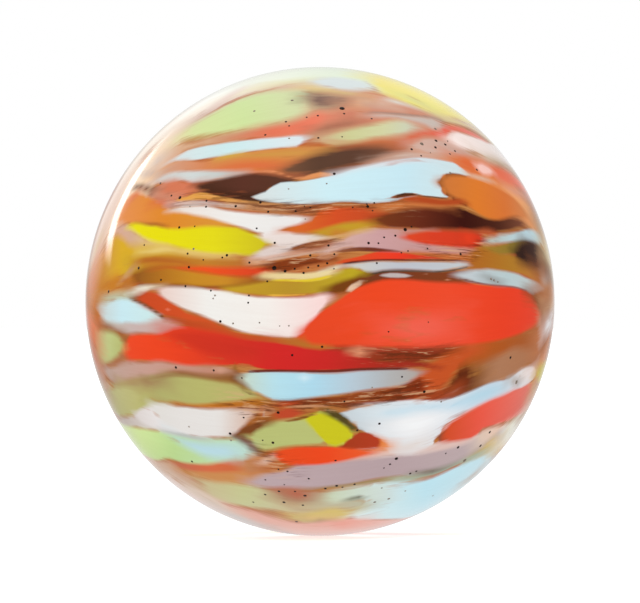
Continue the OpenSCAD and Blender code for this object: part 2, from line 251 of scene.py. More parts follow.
# The yellow one of the upper rim
streak(.4, [(246, 226, 96), (255, 242, 122), (246, 228, 140)], [
    [11, 84, 74], [13, 88, 70], [16, 94, 65.5], [20, 97, 65], [24, 96, 65], [28, 92, 65.4],
    [32, 93, 67], [36, 99, 70], [40, 101, 75], [46, 97, 82]])
streak(.4, [(214, 182, 152), (226, 202, 174)], [
    [29, 65.5, 62.6], [33, 69, 64.8], [36, 73, 67.8], [39, 78, 71], [43, 87, 75], [48, 98, 82]])
streak(.5, [(222, 222, 140)], [[19, 69, 66], [23, 70, 65.4], [28, 69, 66]])
streak(.4, [(195, 130, 95)], [[56, 80, 64], [60, 78, 54], [64, 74, 50], [67, 70, 56]])
streak(.2, [(205, 115, 80), (235, 105, 85), (245, 140, 125)], [
    [18, 45.5, 42], [21, 48.5, 44], [24, 51.5, 48], [27, 54, 51], [30, 56.5, 52.5],
    [31.5, 60, 54.5], [34, 63.5, 60], [37, 66.6, 63], [41, 70, 66.8], [45, 73, 70.5]])
streak(.2, [(255, 236, 230), (255, 246, 240)], [
    [31.5, 54, 52.8], [33, 58, 52.5], [35, 61, 52.5], [38, 64, 54], [41, 67, 56.5], [43, 70, 58],
    [45, 73, 60], [47, 79, 62.5], [49, 86, 65.5], [51, 93, 69], [54, 101, 76], [57, 104, 84],
    [60, 104, 94]])
streak(.4, [(216, 192, 168)], [
    [42, 57, 54], [45, 61.5, 56], [48, 66.5, 60], [51, 71, 63.5], [54, 77, 69], [57, 86, 76]])
streak(.2, [(212, 140, 90)], [[25, 43.5, 42.6], [28, 44, 42.8], [31, 45.3, 43.6], [34, 47.5, 45]])
streak(.2, [(215, 180, 165), (205, 165, 150)], [
    [21.5, 45.5, 43.2], [24, 48.2, 43], [27, 50.6, 43.5], [30, 52.2, 44.7], [33, 52.6, 46.8],
    [36, 53, 49], [39, 54, 51.5]])
streak(.3, [(225, 120, 65), (224, 125, 60), (234, 155, 95)], [
    [33, 46, 44.5], [36, 48.5, 44.2], [38, 50.5, 44.3], [41, 53, 45], [44, 54.5, 46], [48, 55, 45],
    [52, 56, 41], [56, 56, 39], [60, 56, 42], [64, 56, 48]])
# Partly its own orange glass, partly painted light: its colour is raised to make up for the dimmer
# light on the upper right.
streak(.5, [(248, 160, 92), (252, 182, 122)], [
    [48, 46, 42], [52, 52, 40], [56, 57, 41], [60, 61, 43], [64, 62, 48], [67, 62, 54]])
streak(.3, [(232, 165, 145)], [
    [51, 51.5, 50], [54, 55.5, 51.3], [57, 60, 54.5], [60, 66, 59.5], [62, 72, 65]])
streak(.3, [(235, 106, 66), (250, 128, 98), (250, 160, 130)], [
    [45, 54.8, 52], [47, 57, 50.5], [50, 61.3, 51.5], [53, 66.2, 54.5], [56, 71.5, 60],
    [59, 79, 66.5], [62, 90, 73], [65, 99, 82], [68, 103, 92]])
streak(.3, [(226, 108, 58)], [[34, 47, 44.6], [37, 49.4, 44.4], [40, 50.6, 45.6], [42, 51, 48]])
streak(.12, [(255, 205, 194)], [
    [40.3, 50.3, 48.2], [42, 52.4, 46.4], [44, 54.2, 46.8], [46, 54.4, 49.4], [47.4, 54, 52]])
streak(.3, [(215, 200, 195)], [[-44.5, 56, 51], [-42.5, 57, 50], [-40.5, 56, 51]])
streak(.3, [(225, 165, 125)], [[-44, 50, 45], [-41.5, 51, 44], [-39, 50, 46]])
# The thin pale blue one of the upper left
streak(.1, [(222, 226, 226), (205, 234, 236), (222, 230, 234)], [
    [-42, 50.5, 49], [-38, 50, 48], [-34, 50, 45], [-30, 48.9, 43], [-26, 47.4, 41.8],
    [-20, 45.9, 40.8], [-14, 44.9, 40.4], [-9, 44.4, 40.2], [-5, 44.5, 40.5], [-2.6, 44.2, 42.8]])

# Streaks of the upper front: orange, dark brown and pale blue glass near the surface, with the
# yellow and white ones of the left and the dark and red ones of the right.
streak(.2, [(208, 190, 180), (202, 182, 170)], [
    [-51, 65, 61.5], [-49.5, 59, 55], [-47.5, 54.6, 51], [-45, 51.4, 47.8], [-42.5, 48, 44.4],
    [-40, 45, 42.4]])
streak(.08, [(175, 145, 128)], [
    [-50.5, 64, 62.8], [-49.4, 59.6, 58.6], [-48, 56, 55.2], [-46, 53, 52.3]])
streak(.16, [(150, 116, 94), (104, 72, 54), (140, 100, 80)], [
    [-53, 53.6, 51], [-50.5, 51, 47.8], [-48.5, 48.2, 44.8], [-46.5, 45.2, 41.6],
    [-44.5, 42.3, 38.6], [-42.5, 39.8, 36.7], [-40.8, 37.6, 35.8]])
streak(.25, [(205, 150, 125)], [[-46, 40, 37], [-42, 40, 34], [-38, 38, 33]])
streak(.2, [(212, 165, 138), (216, 135, 88), (218, 132, 66), (205, 130, 75)], [
    [-42, 47.6, 43], [-35, 46.4, 41.5], [-30, 42.5, 39], [-27, 41.5, 37.8], [-22, 40.8, 36.3],
    [-18, 40.3, 35.2], [-14, 40, 34.3], [-10, 40, 33.5], [-6, 40.2, 33], [-1, 40, 34]])
streak(.3, [(208, 152, 74)], [
    [-25, 41, 40], [-20, 40.6, 39.3], [-15, 40, 38.2], [-10, 39.8, 37.6], [-5, 39.5, 37.3],
    [0, 38.9, 38]])
streak(.35, [(218, 112, 66)], [
    [-25, 38.5, 36.8], [-20, 38.2, 35.3], [-15, 37.5, 34.4], [-10, 36, 33], [-7, 34.8, 32.6]])
streak(.15, [(205, 175, 70)], [[-25, 41.4, 40.7], [-22, 41.5, 40.4], [-19, 41, 40.4]])
streak(.15, [(215, 195, 185), (210, 217, 215), (185, 185, 178)], [
    [-48, 47, 45.8], [-44, 46, 43.2], [-40, 44.9, 40.6], [-36, 42.8, 38.4], [-32, 40.4, 35.8],
    [-28, 38.7, 34.6], [-24, 37, 34], [-20, 35.5, 34], [-17, 34.8, 34.2]])
streak(.25, [(215, 122, 88)], [
    [-42.5, 40.5, 38.5], [-41, 41, 36], [-38, 40.5, 34], [-35, 38, 32.5], [-33, 36.2, 32.3],
    [-31, 35, 32.5]])
streak(.3, [(125, 85, 62), (92, 64, 49), (95, 64, 50), (128, 84, 64)], [
    [-11, 33.2, 32.2], [-8, 34.9, 31.6], [-5, 36.4, 31.4], [-2, 37.8, 31.5], [1, 38.8, 32.2],
    [4, 39.6, 33], [7, 40.5, 34.1], [10, 41.3, 35.2], [13, 42, 36.6], [16, 42.6, 38.3],
    [19.5, 43, 40.4]])
# The dark brown one before the long pale blue one
streak(.12, [(78, 48, 34), (92, 52, 40), (88, 55, 40)], [
    [-32, 35.2, 34.8], [-30.6, 35.1, 33], [-28, 34.5, 30.9], [-25, 34.1, 28.9], [-20, 34, 26.7],
    [-16, 33.7, 25.4], [-12, 32.8, 24.6], [-9, 31.7, 24.2], [-6, 30.6, 24], [-5, 30.2, 29.8]])
streak(.3, [(60, 36, 24)], [
    [-28, 31.6, 30.8], [-25, 30.4, 29.2], [-20, 28.6, 27], [-15, 27.4, 25.4], [-11, 26.2, 24.6]])
streak(.08, [(222, 135, 95), (225, 150, 90)], [
    [-18, 34.3, 34], [-14, 34.3, 33.5], [-11, 33.8, 32.8], [-9, 32.8, 32], [-7, 31.6, 31.1],
    [-5, 31.2, 30.5], [0, 32.6, 31], [3.5, 32, 31.6]])
streak(.25, [(215, 180, 160), (212, 196, 186)], [
    [12, 36.4, 35.4], [15, 38.8, 37], [19, 41.4, 38.6], [23, 43.4, 40.4], [27, 44.8, 42.4],
    [31, 46, 44]])
# The long pale blue one
streak(.08, [(218, 222, 220), (205, 236, 243), (200, 232, 242), (215, 226, 226)], [
    [-17.5, 27.3, 26.9], [-15, 27.8, 25.6], [-12.5, 28.6, 24.7], [-11, 29.8, 24.3],
    [-5, 30.4, 23.6], [0, 31.2, 23.5], [4, 32.2, 24], [7, 33.7, 24.2], [11, 35.4, 24.1],
    [15, 37.2, 24.8], [18, 38.5, 25.6], [21, 40.1, 27.2], [25, 42, 28.5], [29, 43.4, 29.4],
    [31, 44, 29.9], [34, 45.2, 31.1], [38, 44, 42], [40, 43.5, 42.5]])
streak(.2, [(222, 222, 226)], [
    [3, 32, 31.3], [7, 33.9, 32.8], [12, 36, 34.5], [17, 38.2, 36], [21, 40, 38], [25, 41.7, 40],
    [28, 42.6, 41.5]])
streak(.04, [(80, 50, 35)], [
    [-15, 25.4, 25], [-10, 24.5, 24.1], [-5, 24, 23.6], [0, 23.9, 23.5], [4, 24.2, 23.9]])
streak(.04, [(40, 38, 28)], [
    [16.4, 26.8, 26.4], [18.4, 27.8, 26.9], [20, 28.6, 27.3], [21.6, 29.2, 28.1],
    [23.4, 29.3, 28.6], [26, 29.4, 28.9]])
streak(.05, [(72, 66, 50), (96, 70, 48)], [
    [22, 28.9, 28.4], [25, 29.2, 28.7], [28, 29.8, 29.2], [31, 30.4, 29.9], [35, 32, 31.5]])
streak(.08, [(104, 54, 28)], [
    [29.7, 35.8, 34], [30.5, 37.6, 32.5], [31.6, 38.8, 31.4], [33, 39.8, 30.8], [38, 42, 29.9]])
# The orange blob at its right end
streak(.15, [(205, 120, 60), (225, 125, 45), (222, 118, 50), (222, 140, 80)], [
    [30.2, 36.4, 33.8], [31.2, 37.7, 32.6], [33, 39.2, 31.9], [35.5, 40.6, 31.4], [38, 41.8, 30.8],
    [42, 43.3, 29.3], [46, 45, 29.5], [50, 47, 31.9], [54, 49, 36.2], [58, 50, 41], [62, 50, 46]])
streak(.1, [(225, 182, 155)], [
    [37, 43.9, 42], [40, 44.3, 42.2], [42, 45.8, 43], [44, 46.9, 44], [46, 48, 45.4],
    [47.7, 48.5, 47.6]])
streak(.08, [(232, 165, 75), (200, 140, 85)], [
    [-37, 32.6, 31.6], [-34, 31.7, 30.4], [-31, 32, 29.6], [-28, 30.8, 28.8], [-25, 29, 27.6],
    [-22, 27.7, 26.2], [-20, 26.9, 25.6], [-17, 25.9, 24.6], [-13, 25, 24], [-8, 24.2, 23.4]])
streak(.12, [(208, 156, 110), (180, 120, 78), (160, 88, 52)], [
    [-24, 26.6, 25.8], [-20, 26, 24.2], [-15, 25, 22.8], [-10, 24.2, 21.8], [-5, 23.8, 21.2],
    [0, 23.5, 21.5]])
streak(.05, [(110, 60, 40)], [[-12, 23, 22.6], [-7, 22.9, 22.4], [-4, 22.6, 22.2]])
streak(.12, [(212, 180, 168), (210, 195, 190)], [
    [-40, 33, 30.5], [-37, 31.5, 29.8], [-33, 30.3, 28.4], [-30, 29.2, 27.6], [-26, 27.6, 26.2],
    [-22, 25.9, 25], [-19, 25, 24.5]])
streak(.05, [(180, 160, 150)], [
    [-36, 29.4, 29.1], [-30, 27.9, 27.5], [-25, 26, 25.7], [-20, 24.6, 24.3]])
streak(.15, [(240, 150, 85), (224, 138, 45), (215, 150, 60)], [
    [-60, 44, 39], [-57, 46, 37], [-54, 48, 34], [-51, 47, 31.8], [-48, 42, 29], [-44, 36.5, 26.6],
    [-40, 30.5, 23.5], [-36, 27.5, 21.8], [-32, 25.4, 21], [-28, 23.4, 20.4], [-24, 21.6, 19.8],
    [-21, 20, 19.2]])
streak(.2, [(230, 130, 90)], [[-53.5, 46, 43.5], [-51.5, 48, 44], [-49.5, 46, 43.5]])
streak(.2, [(220, 110, 70)], [
    [-44.5, 36, 35], [-43, 36.3, 33.6], [-41, 34.5, 32], [-39.5, 32.4, 31]])
streak(.1, [(165, 100, 40)], [
    [-51, 32, 31.3], [-47, 28.9, 27.9], [-43, 26.7, 25.6], [-40, 24.6, 23.4]])
# The white one over the yellow one
streak(.12, [(236, 222, 212), (238, 236, 232), (232, 228, 226)], [
    [-40.5, 30.2, 29.1], [-36, 29.4, 27], [-32, 28.3, 24.8], [-28, 27.1, 22.9], [-24, 25.1, 20.9],
    [-20, 23.7, 19.1], [-16, 22.7, 17.4], [-12, 22, 15.6], [-9, 21.4, 17.4], [-5, 20.9, 18.6],
    [-1, 20.2, 20]])
streak(.12, [(235, 222, 216), (228, 215, 208)], [
    [-15, 16.5, 15.6], [-12, 17.5, 13.9], [-9, 17.4, 13.5], [-6, 16.7, 12.8], [-3, 16.4, 13.6],
    [0, 16, 14.3], [3, 15.4, 14.8]])
streak(.15, [(222, 205, 198)], [
    [-17, 11, 10.6], [-15, 12.6, 10.2], [-12, 13.9, 10.4], [-9, 14.2, 10.9], [-7, 14.2, 12],
    [-5, 14, 13.4]])
streak(.5, [(200, 138, 52), (222, 150, 44)], [
    [-78, 32, 6], [-72, 31, 7], [-67, 30, 8], [-62, 28, 10]])
streak(.3, [(212, 150, 58), (224, 176, 36), (216, 172, 38), (208, 165, 45)], [
    [-66, 20, 12], [-64, 26, 11.5], [-62, 31, 11.5], [-60, 33, 12], [-58, 31.5, 12.5],
    [-56, 28.2, 12.8], [-54, 24.8, 14], [-52, 22.4, 15.5], [-50, 21.2, 16], [-46, 19.4, 15.4],
    [-42, 17.5, 14.8], [-38, 15.8, 13.5]])
streak(.2, [(212, 170, 45), (200, 140, 45), (185, 110, 50)], [
    [-55, 20, 12], [-50, 17.5, 11.5], [-45, 16, 11.2], [-40, 15.2, 11], [-35, 13.8, 10.2],
    [-30, 12, 9.5], [-25, 11.3, 9], [-20, 11, 8.8], [-17, 10.8, 8.6]])
streak(.25, [(225, 175, 160), (215, 175, 145), (232, 205, 120)], [
    [-61, 37.5, 36], [-58.5, 37, 32.3], [-56, 36, 28.2], [-54, 33, 24.8], [-52, 29, 22.4],
    [-50, 26.3, 21.1], [-47.5, 23.2, 20.2], [-45, 20.8, 18.8], [-42, 18.9, 17.6]])
streak(.15, [(232, 205, 120), (222, 185, 105)], [
    [-50, 19.5, 17.5], [-45, 18.2, 16], [-40, 18.2, 15.2], [-36, 16, 14], [-32, 14.6, 12.6],
    [-28, 13.3, 11.6], [-24, 12.6, 11.2], [-20, 12.2, 11]])
# The yellow one
streak(.12, [(240, 228, 15), (232, 222, 20), (228, 218, 28), (205, 190, 35)], [
    [-53.7, 32.4, 31.4], [-52, 32, 29.3], [-50, 30.8, 26.6], [-48, 29, 24], [-46, 27.2, 22],
    [-43, 25.4, 19.9], [-40, 23.5, 18.4], [-36, 22, 16.3], [-32, 21.3, 14.7], [-28, 20.7, 13.5],
    [-24, 19.8, 12.6], [-20, 18.9, 12.2], [-17, 17.4, 11.5], [-15, 16.3, 12.2], [-13.2, 15, 13.5],
    [-12.3, 14.3, 14.1]])
streak(.3, [(205, 128, 34)], [
    [-69, 10, 5], [-66, 12, 4.5], [-62, 12, 4.8], [-58, 11.6, 5.4], [-55, 9, 6.5], [-53, 8, 7]])
streak(.12, [(190, 115, 45)], [
    [-58, 7.6, 6.6], [-56, 7.6, 5.4], [-54, 9, 4.7], [-52, 8.8, 4.6], [-51, 7.5, 5.2]])
streak(.12, [(215, 165, 110), (190, 140, 105)], [
    [-58, 8.4, 7.4], [-56, 10, 8.4], [-54, 12.4, 9.5], [-52, 14, 11.2], [-50.3, 14.6, 12.8]])
streak(.2, [(180, 95, 38)], [
    [-50.5, 15.5, 14.6], [-48, 16, 13.4], [-45, 15.4, 12.8], [-40, 13.9, 11.6], [-36, 12.6, 10.8],
    [-32, 11, 9.9]])
streak(.12, [(140, 78, 30)], [
    [-51, 10.9, 7], [-48, 11.6, 5.4], [-40, 11.3, 4.6], [-30, 8.4, 3.6], [-20, 6.7, 3.8],
    [-12.5, 6, 4.8]])
streak(.12, [(150, 92, 34), (180, 115, 36), (200, 138, 40), (203, 140, 42), (150, 80, 35)], [
    [-50, 10.5, 8], [-48, 11.3, 6.4], [-44, 11.4, 5.7], [-40, 11, 5.5], [-35, 9.4, 5],
    [-30, 8.2, 4.3], [-25, 7.2, 4.1], [-20, 6.5, 4.3], [-16, 6.3, 4.6], [-14, 5.6, 5]])
streak(.15, [(205, 95, 40), (238, 85, 35), (215, 65, 38)], [
    [-45, 11.8, 11.4], [-40, 11.3, 10.8], [-35, 10.4, 9.2], [-30, 9.8, 8], [-25, 9.2, 6.9],
    [-20, 8.7, 6.3], [-17, 8.6, 6.1], [-14, 8.4, 7], [-12, 8, 7.6]])
streak(.1, [(215, 165, 140)], [
    [-16.5, 10.4, 9.8], [-12, 11.2, 10.4], [-6, 12.2, 11.2], [0, 13, 12], [3.5, 13.2, 12.6]])
streak(.1, [(165, 95, 60)], [
    [-8, 11.8, 11.6], [-6, 13, 11.9], [-3, 13.6, 12], [0, 14.4, 12.3], [3, 14.6, 13]])
streak(.1, [(135, 60, 25)], [
    [-14, 8.8, 8.2], [-12, 9.4, 7.6], [-9, 9.9, 7], [-6, 10.3, 7.8], [-3, 10.5, 8.6],
    [0, 10.6, 9.2], [3, 10.4, 9.8]])
streak(.12, [(215, 165, 130)], [
    [-17.5, 10.8, 9.2], [-16, 11.2, 8.9], [-14, 10, 9], [-12, 9.8, 9.2]])
streak(.12, [(200, 160, 42), (185, 145, 45), (190, 170, 35)], [
    [-24, 3.8, 3], [-20, 4, 2.3], [-17, 4.4, 2], [-13, 5, 1.6], [-9, 5, 1.5], [-5, 4.9, 1.6],
    [-1, 5.2, 2], [2, 6, 2.8], [5, 7.3, 4], [7, 7.9, 5], [10.5, 7, 6.2]])
streak(.06, [(235, 180, 70)], [[-13, 1.8, 1.3], [-8, 1.7, 1.2], [-2, 1.9, 1.5]])
streak(.1, [(232, 208, 150), (235, 215, 160)], [
    [-15.7, 6.2, 6], [-14, 7.1, 5.4], [-10, 7.1, 5.2], [-5, 6.9, 5], [0, 7.4, 5.3], [4, 8.7, 6.6]])
streak(.06, [(228, 200, 50)], [
    [-12, 5.4, 4.9], [-8, 5.4, 4.8], [-4, 5.3, 4.6], [0, 5.8, 5], [3, 6.6, 5.8]])
streak(.12, [(120, 65, 22)], [
    [1, 3.2, 2.3], [4, 4.5, 2], [7, 5.4, 2.8], [10, 6.3, 4.4], [12, 6.6, 5.2], [14, 6.8, 6.2]])
streak(.06, [(228, 192, 162)], [
    [5.8, 2.8, 1.8], [7, 4, 1.9], [8.6, 5, 2.9], [10.2, 5.6, 4.1], [11.4, 5.7, 4.9]])
streak(.06, [(215, 175, 125)], [[9.3, 4.8, 4.5], [10.5, 5.3, 4.6], [11.8, 5.2, 4.9]])
streak(.12, [(118, 58, 34), (135, 66, 34)], [
    [10, 6.4, 4.4], [16, 8, 5], [24, 8.4, 5], [30, 8.6, 5], [35, 8.8, 5.2], [38, 9, 5.6]])
streak(.06, [(194, 182, 180)], [
    [13.4, 6.5, 6.2], [15, 7, 5.9], [18, 7.4, 5.7], [20, 7.3, 5.8], [22.5, 7, 6.2],
    [23.3, 6.8, 6.5]])
streak(.06, [(200, 140, 110)], [[24.3, 7.2, 7], [25.7, 7.5, 7], [27.2, 7.5, 7.2]])
streak(.06, [(225, 150, 120)], [[30.8, 6.2, 5.8], [32.4, 6.6, 5.7], [34, 6.3, 5.9]])
streak(.2, [(168, 95, 50)], [
    [-1, 23.6, 23], [5, 24.4, 23], [10, 24.6, 23.2], [15, 24.6, 23.4], [20, 24.6, 24]])
streak(.2, [(190, 160, 40), (200, 150, 45)], [
    [0, 17.8, 16], [4, 18.6, 15.6], [6, 19.1, 15.8], [8, 19.5, 17.2], [10, 19.7, 17.2],
    [12, 19.9, 18]])
streak(.15, [(215, 110, 40), (212, 80, 38), (190, 75, 38)], [
    [-9.5, 17.5, 17.3], [-7, 18, 17], [-5, 18.6, 16.8], [-3, 19.2, 16.7], [-1, 20.4, 17],
    [0, 22, 17.3], [3, 22.8, 18.3], [6, 23.1, 19.2], [9, 23.2, 19.6], [12, 23, 20],
    [15, 22.5, 20.6], [17, 21.8, 21]])
streak(.2, [(200, 120, 50)], [[2.5, 17, 16], [4.5, 17.5, 15.4], [6.5, 16.6, 15.6]])
streak(.12, [(215, 180, 165), (205, 160, 160), (200, 150, 145), (200, 140, 125)], [
    [0, 12.2, 11], [2, 13.2, 11.4], [4, 14.4, 12.2], [6, 15.4, 12.8], [8, 16.6, 12.9],
    [10, 17, 12.6], [12, 18, 12.4], [14, 18.3, 12.4], [16, 18.3, 12.4], [19, 18.2, 12.5],
    [22, 16.4, 12.8], [26, 15.5, 13], [30, 15.6, 13.3], [35, 16, 13.9], [40, 16.8, 14.8]])
streak(.12, [(222, 180, 140)], [[4, 15.6, 15], [8, 17.2, 16.2], [12, 18, 17.2]])
streak(.06, [(214, 182, 164), (206, 168, 144), (200, 158, 132)], [
    [-14, 10, 9.6], [-12, 10.4, 9.8], [-7.5, 11, 10.4], [-3, 11.7, 11.1], [2, 12.8, 12.2]])
streak(.06, [(140, 78, 45), (172, 106, 72)], [
    [-7.4, 12.8, 11.8], [-4.6, 13.8, 12.4], [-1, 14.6, 13.2], [3.4, 15.2, 14.2]])
streak(.06, [(190, 128, 92)], [[-1, 10.8, 10], [1.6, 11.4, 9.8], [4.4, 12, 10.8]])
streak(.06, [(150, 90, 60), (112, 52, 36), (132, 58, 42)], [
    [4, 12.3, 11.5], [8, 13.1, 12.1], [12, 13.3, 12.2], [16, 13.1, 12.3], [20, 12.9, 12.5]])
streak(.1, [(200, 150, 140)], [
    [17, 18.4, 17.3], [20, 18.6, 17], [23, 19, 18], [26, 19.5, 19], [29, 20, 19.6]])
# The dark brown one of the right
streak(.15, [(120, 60, 30), (105, 45, 28), (60, 22, 18), (78, 36, 22), (130, 70, 42)], [
    [12, 20.6, 19.8], [14, 21.5, 19.2], [17, 22.8, 18.9], [20, 24, 19.2], [23, 25, 19.4],
    [27, 26, 19.8], [30, 26.8, 20.3], [33, 28, 20.8], [36, 28.8, 21.4], [40, 28.5, 22.7],
    [43, 28.7, 23.8], [46, 29.6, 25.1], [50, 32.4, 27.4], [53, 36, 30], [56, 39.6, 33.4],
    [58.6, 41.6, 37], [60.4, 42, 40]])
streak(.2, [(205, 120, 65)], [
    [14, 24.6, 23], [18, 25.6, 23.5], [22, 26.4, 25], [26, 26.9, 25.9], [30, 27.6, 26.7],
    [33, 28.3, 27.8]])
streak(.12, [(180, 75, 35)], [
    [20, 27.6, 26.2], [23, 28.5, 26.6], [27, 28.9, 27], [31, 29.6, 27.8], [34, 31, 29],
    [37, 32.3, 30.5], [38, 32, 31]])
streak(.15, [(200, 95, 55)], [
    [22, 18, 17.7], [28, 19.8, 19.4], [34, 21.2, 20.8], [41, 23.3, 22.2], [44, 24.8, 22.8],
    [47, 25.3, 23.6]])
# The small red one under it
streak(.1, [(225, 75, 40), (218, 65, 38), (215, 62, 36), (120, 30, 20)], [
    [19.5, 16.7, 16.3], [21, 17.2, 15.9], [23, 17.9, 15.6], [25, 18.5, 15.4], [28, 19.4, 15.5],
    [31, 20.1, 15.7], [34, 20.7, 16], [37, 21.3, 16.4], [39, 21.8, 16.8], [41, 22, 18],
    [42.7, 21.4, 20.6]])
streak(.15, [(178, 102, 38), (180, 125, 40), (200, 120, 50)], [
    [37.5, 14, 10.8], [40, 16.6, 10.1], [43, 18.2, 10.8], [48, 17.8, 11.3], [53, 19, 12],
    [58, 18.9, 12.4], [63, 20.2, 12], [67, 23, 12.2], [70, 26, 11.5]])
streak(.15, [(185, 185, 170), (190, 210, 212), (195, 222, 232), (205, 225, 225)], [
    [42.6, 20.6, 19], [44.4, 22.2, 19.2], [46.4, 23.2, 19.8], [48, 24.8, 20.7], [50, 26.4, 22],
    [52, 27.9, 23.5], [55, 30.8, 26], [58, 34.4, 28.7], [61, 39.2, 31.6], [64, 44.2, 34.6],
    [67, 49, 38.8], [69.5, 53, 44]])
streak(.12, [(168, 130, 50), (150, 122, 45), (88, 76, 32)], [
    [43, 18.6, 18], [46, 19.6, 17.5], [49, 21.2, 17.5], [52, 23.4, 18.8], [54.5, 25.6, 20.5],
    [57, 28.4, 24], [60, 31, 28]])
streak(.3, [(110, 62, 32)], [[59, 30, 17.5], [64, 34.4, 17.5], [68, 37, 19], [72, 37.6, 25]])
# The dark patch at the right rim
streak(.2, [(46, 24, 12), (50, 20, 8), (62, 28, 14), (120, 66, 38)], [
    [54.6, 21.7, 20.1], [56, 24.4, 18.8], [58, 27.7, 18.2], [60, 30.3, 18.3], [62, 32.6, 18.8],
    [64, 34.7, 19.6], [66, 36.4, 21], [68.4, 37.4, 23.4], [70.6, 36.6, 28]])
streak(.15, [(205, 110, 60)], [[22, 12.9, 12.2], [30, 13.3, 11.9], [38, 13.6, 12.2]])
streak(.1, [(215, 210, 195), (192, 196, 205), (200, 206, 208)], [
    [0, 7.7, 6.6], [3, 8.5, 7.5], [6, 9.1, 8], [9, 9.5, 7.9], [12, 9.9, 6.7], [15, 10.2, 7.3],
    [20, 10.4, 7.8], [25, 10.9, 7.9], [30, 11.4, 8.1], [34, 11.8, 9.2], [38, 12.2, 10.4],
    [39.5, 11.6, 10.9]])
streak(.08, [(215, 85, 40), (238, 60, 38), (175, 60, 35)], [
    [3, 9, 8.8], [5, 9.8, 9.2], [8, 10.5, 9.6], [10, 11.1, 9.9], [14, 12.2, 10.2],
    [18, 12.4, 10.4], [22, 12.3, 10.7], [26, 12.2, 11.1], [30, 12, 11.4], [33, 11.9, 11.7]])
streak(.12, [(200, 205, 210), (190, 210, 212), (205, 208, 205)], [
    [33, 8, 7.2], [35.4, 9, 6.6], [39, 10, 5.9], [43, 11.1, 5.5], [50, 12, 5.7], [56, 12.6, 5.6],
    [60, 12.2, 5], [63.5, 12.1, 3.6], [66, 11.9, 5.2], [68.5, 11.2, 7], [70.5, 10, 8.6]])
streak(.2, [(138, 134, 130)], [[43.2, 8.8, 8], [46, 8.6, 6.4], [49.4, 7.2, 6]])
streak(.05, [(95, 36, 24), (110, 50, 36), (90, 45, 30)], [
    [5, 9.3, 8.7], [10, 10, 9.5], [15, 10.5, 10.1], [20, 10.8, 10.3], [25, 11.2, 10.7],
    [30, 11.7, 11.2], [34, 12.2, 11.7], [38.4, 12.6, 12.1]])
streak(.05, [(66, 55, 42), (100, 84, 72), (92, 72, 58)], [
    [11, 6.4, 5.8], [13, 7.1, 6.6], [16, 7.7, 7.2], [20, 8, 7.5], [25, 8.1, 7.7], [30, 8.5, 8],
    [33, 9.1, 8.6], [36, 10.1, 9.6], [39, 11.2, 10.7]])
streak(.05, [(120, 66, 48), (105, 60, 48)], [
    [35, 7.2, 6.5], [39, 6.5, 5.9], [44, 6, 5.4], [50, 6.1, 5.5], [56, 6.2, 5.5], [61, 5.4, 4.6]])
streak(.12, [(232, 66, 36), (205, 58, 34)], [
    [37, 21.8, 17], [39.6, 22.2, 17.2], [42, 22, 18.4], [43.2, 21.6, 19.6]])

# Streaks of the lower front: the big red lens of the right, the long red streak of the left,
# the white one between them, and the mauve, olive, pale blue and white ones below.
streak(.3, [(195, 200, 170)], [[-67, 3, 0], [-60, 4.4, 0.5], [-54, 3.6, 1]])
streak(.12, [(212, 205, 190), (236, 225, 205), (228, 190, 140)], [
    [-54, 3.8, 2.2], [-51, 5.6, 2], [-48.6, 6.3, 2.2], [-46.4, 6.3, 3.4], [-43, 5.9, 4.3],
    [-39, 5.7, 4.9]])
streak(.12, [(140, 80, 45)], [[-52.5, 2.1, 1.5], [-50, 2.4, 0.4], [-48, 3, 0.6]])
streak(.2, [(200, 195, 180), (205, 185, 180), (210, 165, 155)], [
    [-66, -9, -12.4], [-62, -8.6, -12.8], [-58, -8, -13.2], [-54, -7.6, -13.2], [-50, -6.6, -12],
    [-46, -5.7, -11], [-42, -5.4, -10.3], [-39.5, -5.6, -9.2], [-37, -6.7, -7.8]])
# The pale blue patch at the left rim
streak(.15, [(215, 220, 215), (206, 240, 248), (208, 234, 232)], [
    [-69.5, -3, -5.5], [-67.5, -1.2, -9], [-64.5, -0.3, -11.4], [-61, 0.9, -10.9],
    [-57, 1.8, -10.2], [-53, 1.3, -9], [-49, -0.3, -8.4], [-45, -2.8, -7.2], [-42, -4.4, -5.8]])
streak(.12, [(205, 75, 38), (215, 85, 40)], [
    [-49, 2.9, -1], [-46, 3.4, -2.5], [-43, 2.6, -3.3], [-40, 0.5, -4.2], [-37, -1.2, -4.6],
    [-34, -3, -5.2], [-30, -4.5, -5.8], [-27, -5.5, -6.4]])
streak(.1, [(178, 78, 36), (202, 82, 38), (192, 98, 42), (185, 120, 45)], [
    [-40, -4.4, -5.8], [-36, -4.8, -6.2], [-32, -5.5, -7.3], [-28, -5.4, -8], [-24, -6.6, -8.6],
    [-20, -8, -9.3], [-15, -8.7, -9.7], [-10, -9.1, -9.9], [-6, -9.2, -10.4], [-3, -8, -11.2],
    [0, -10, -11.3], [2, -10.3, -10.8]])
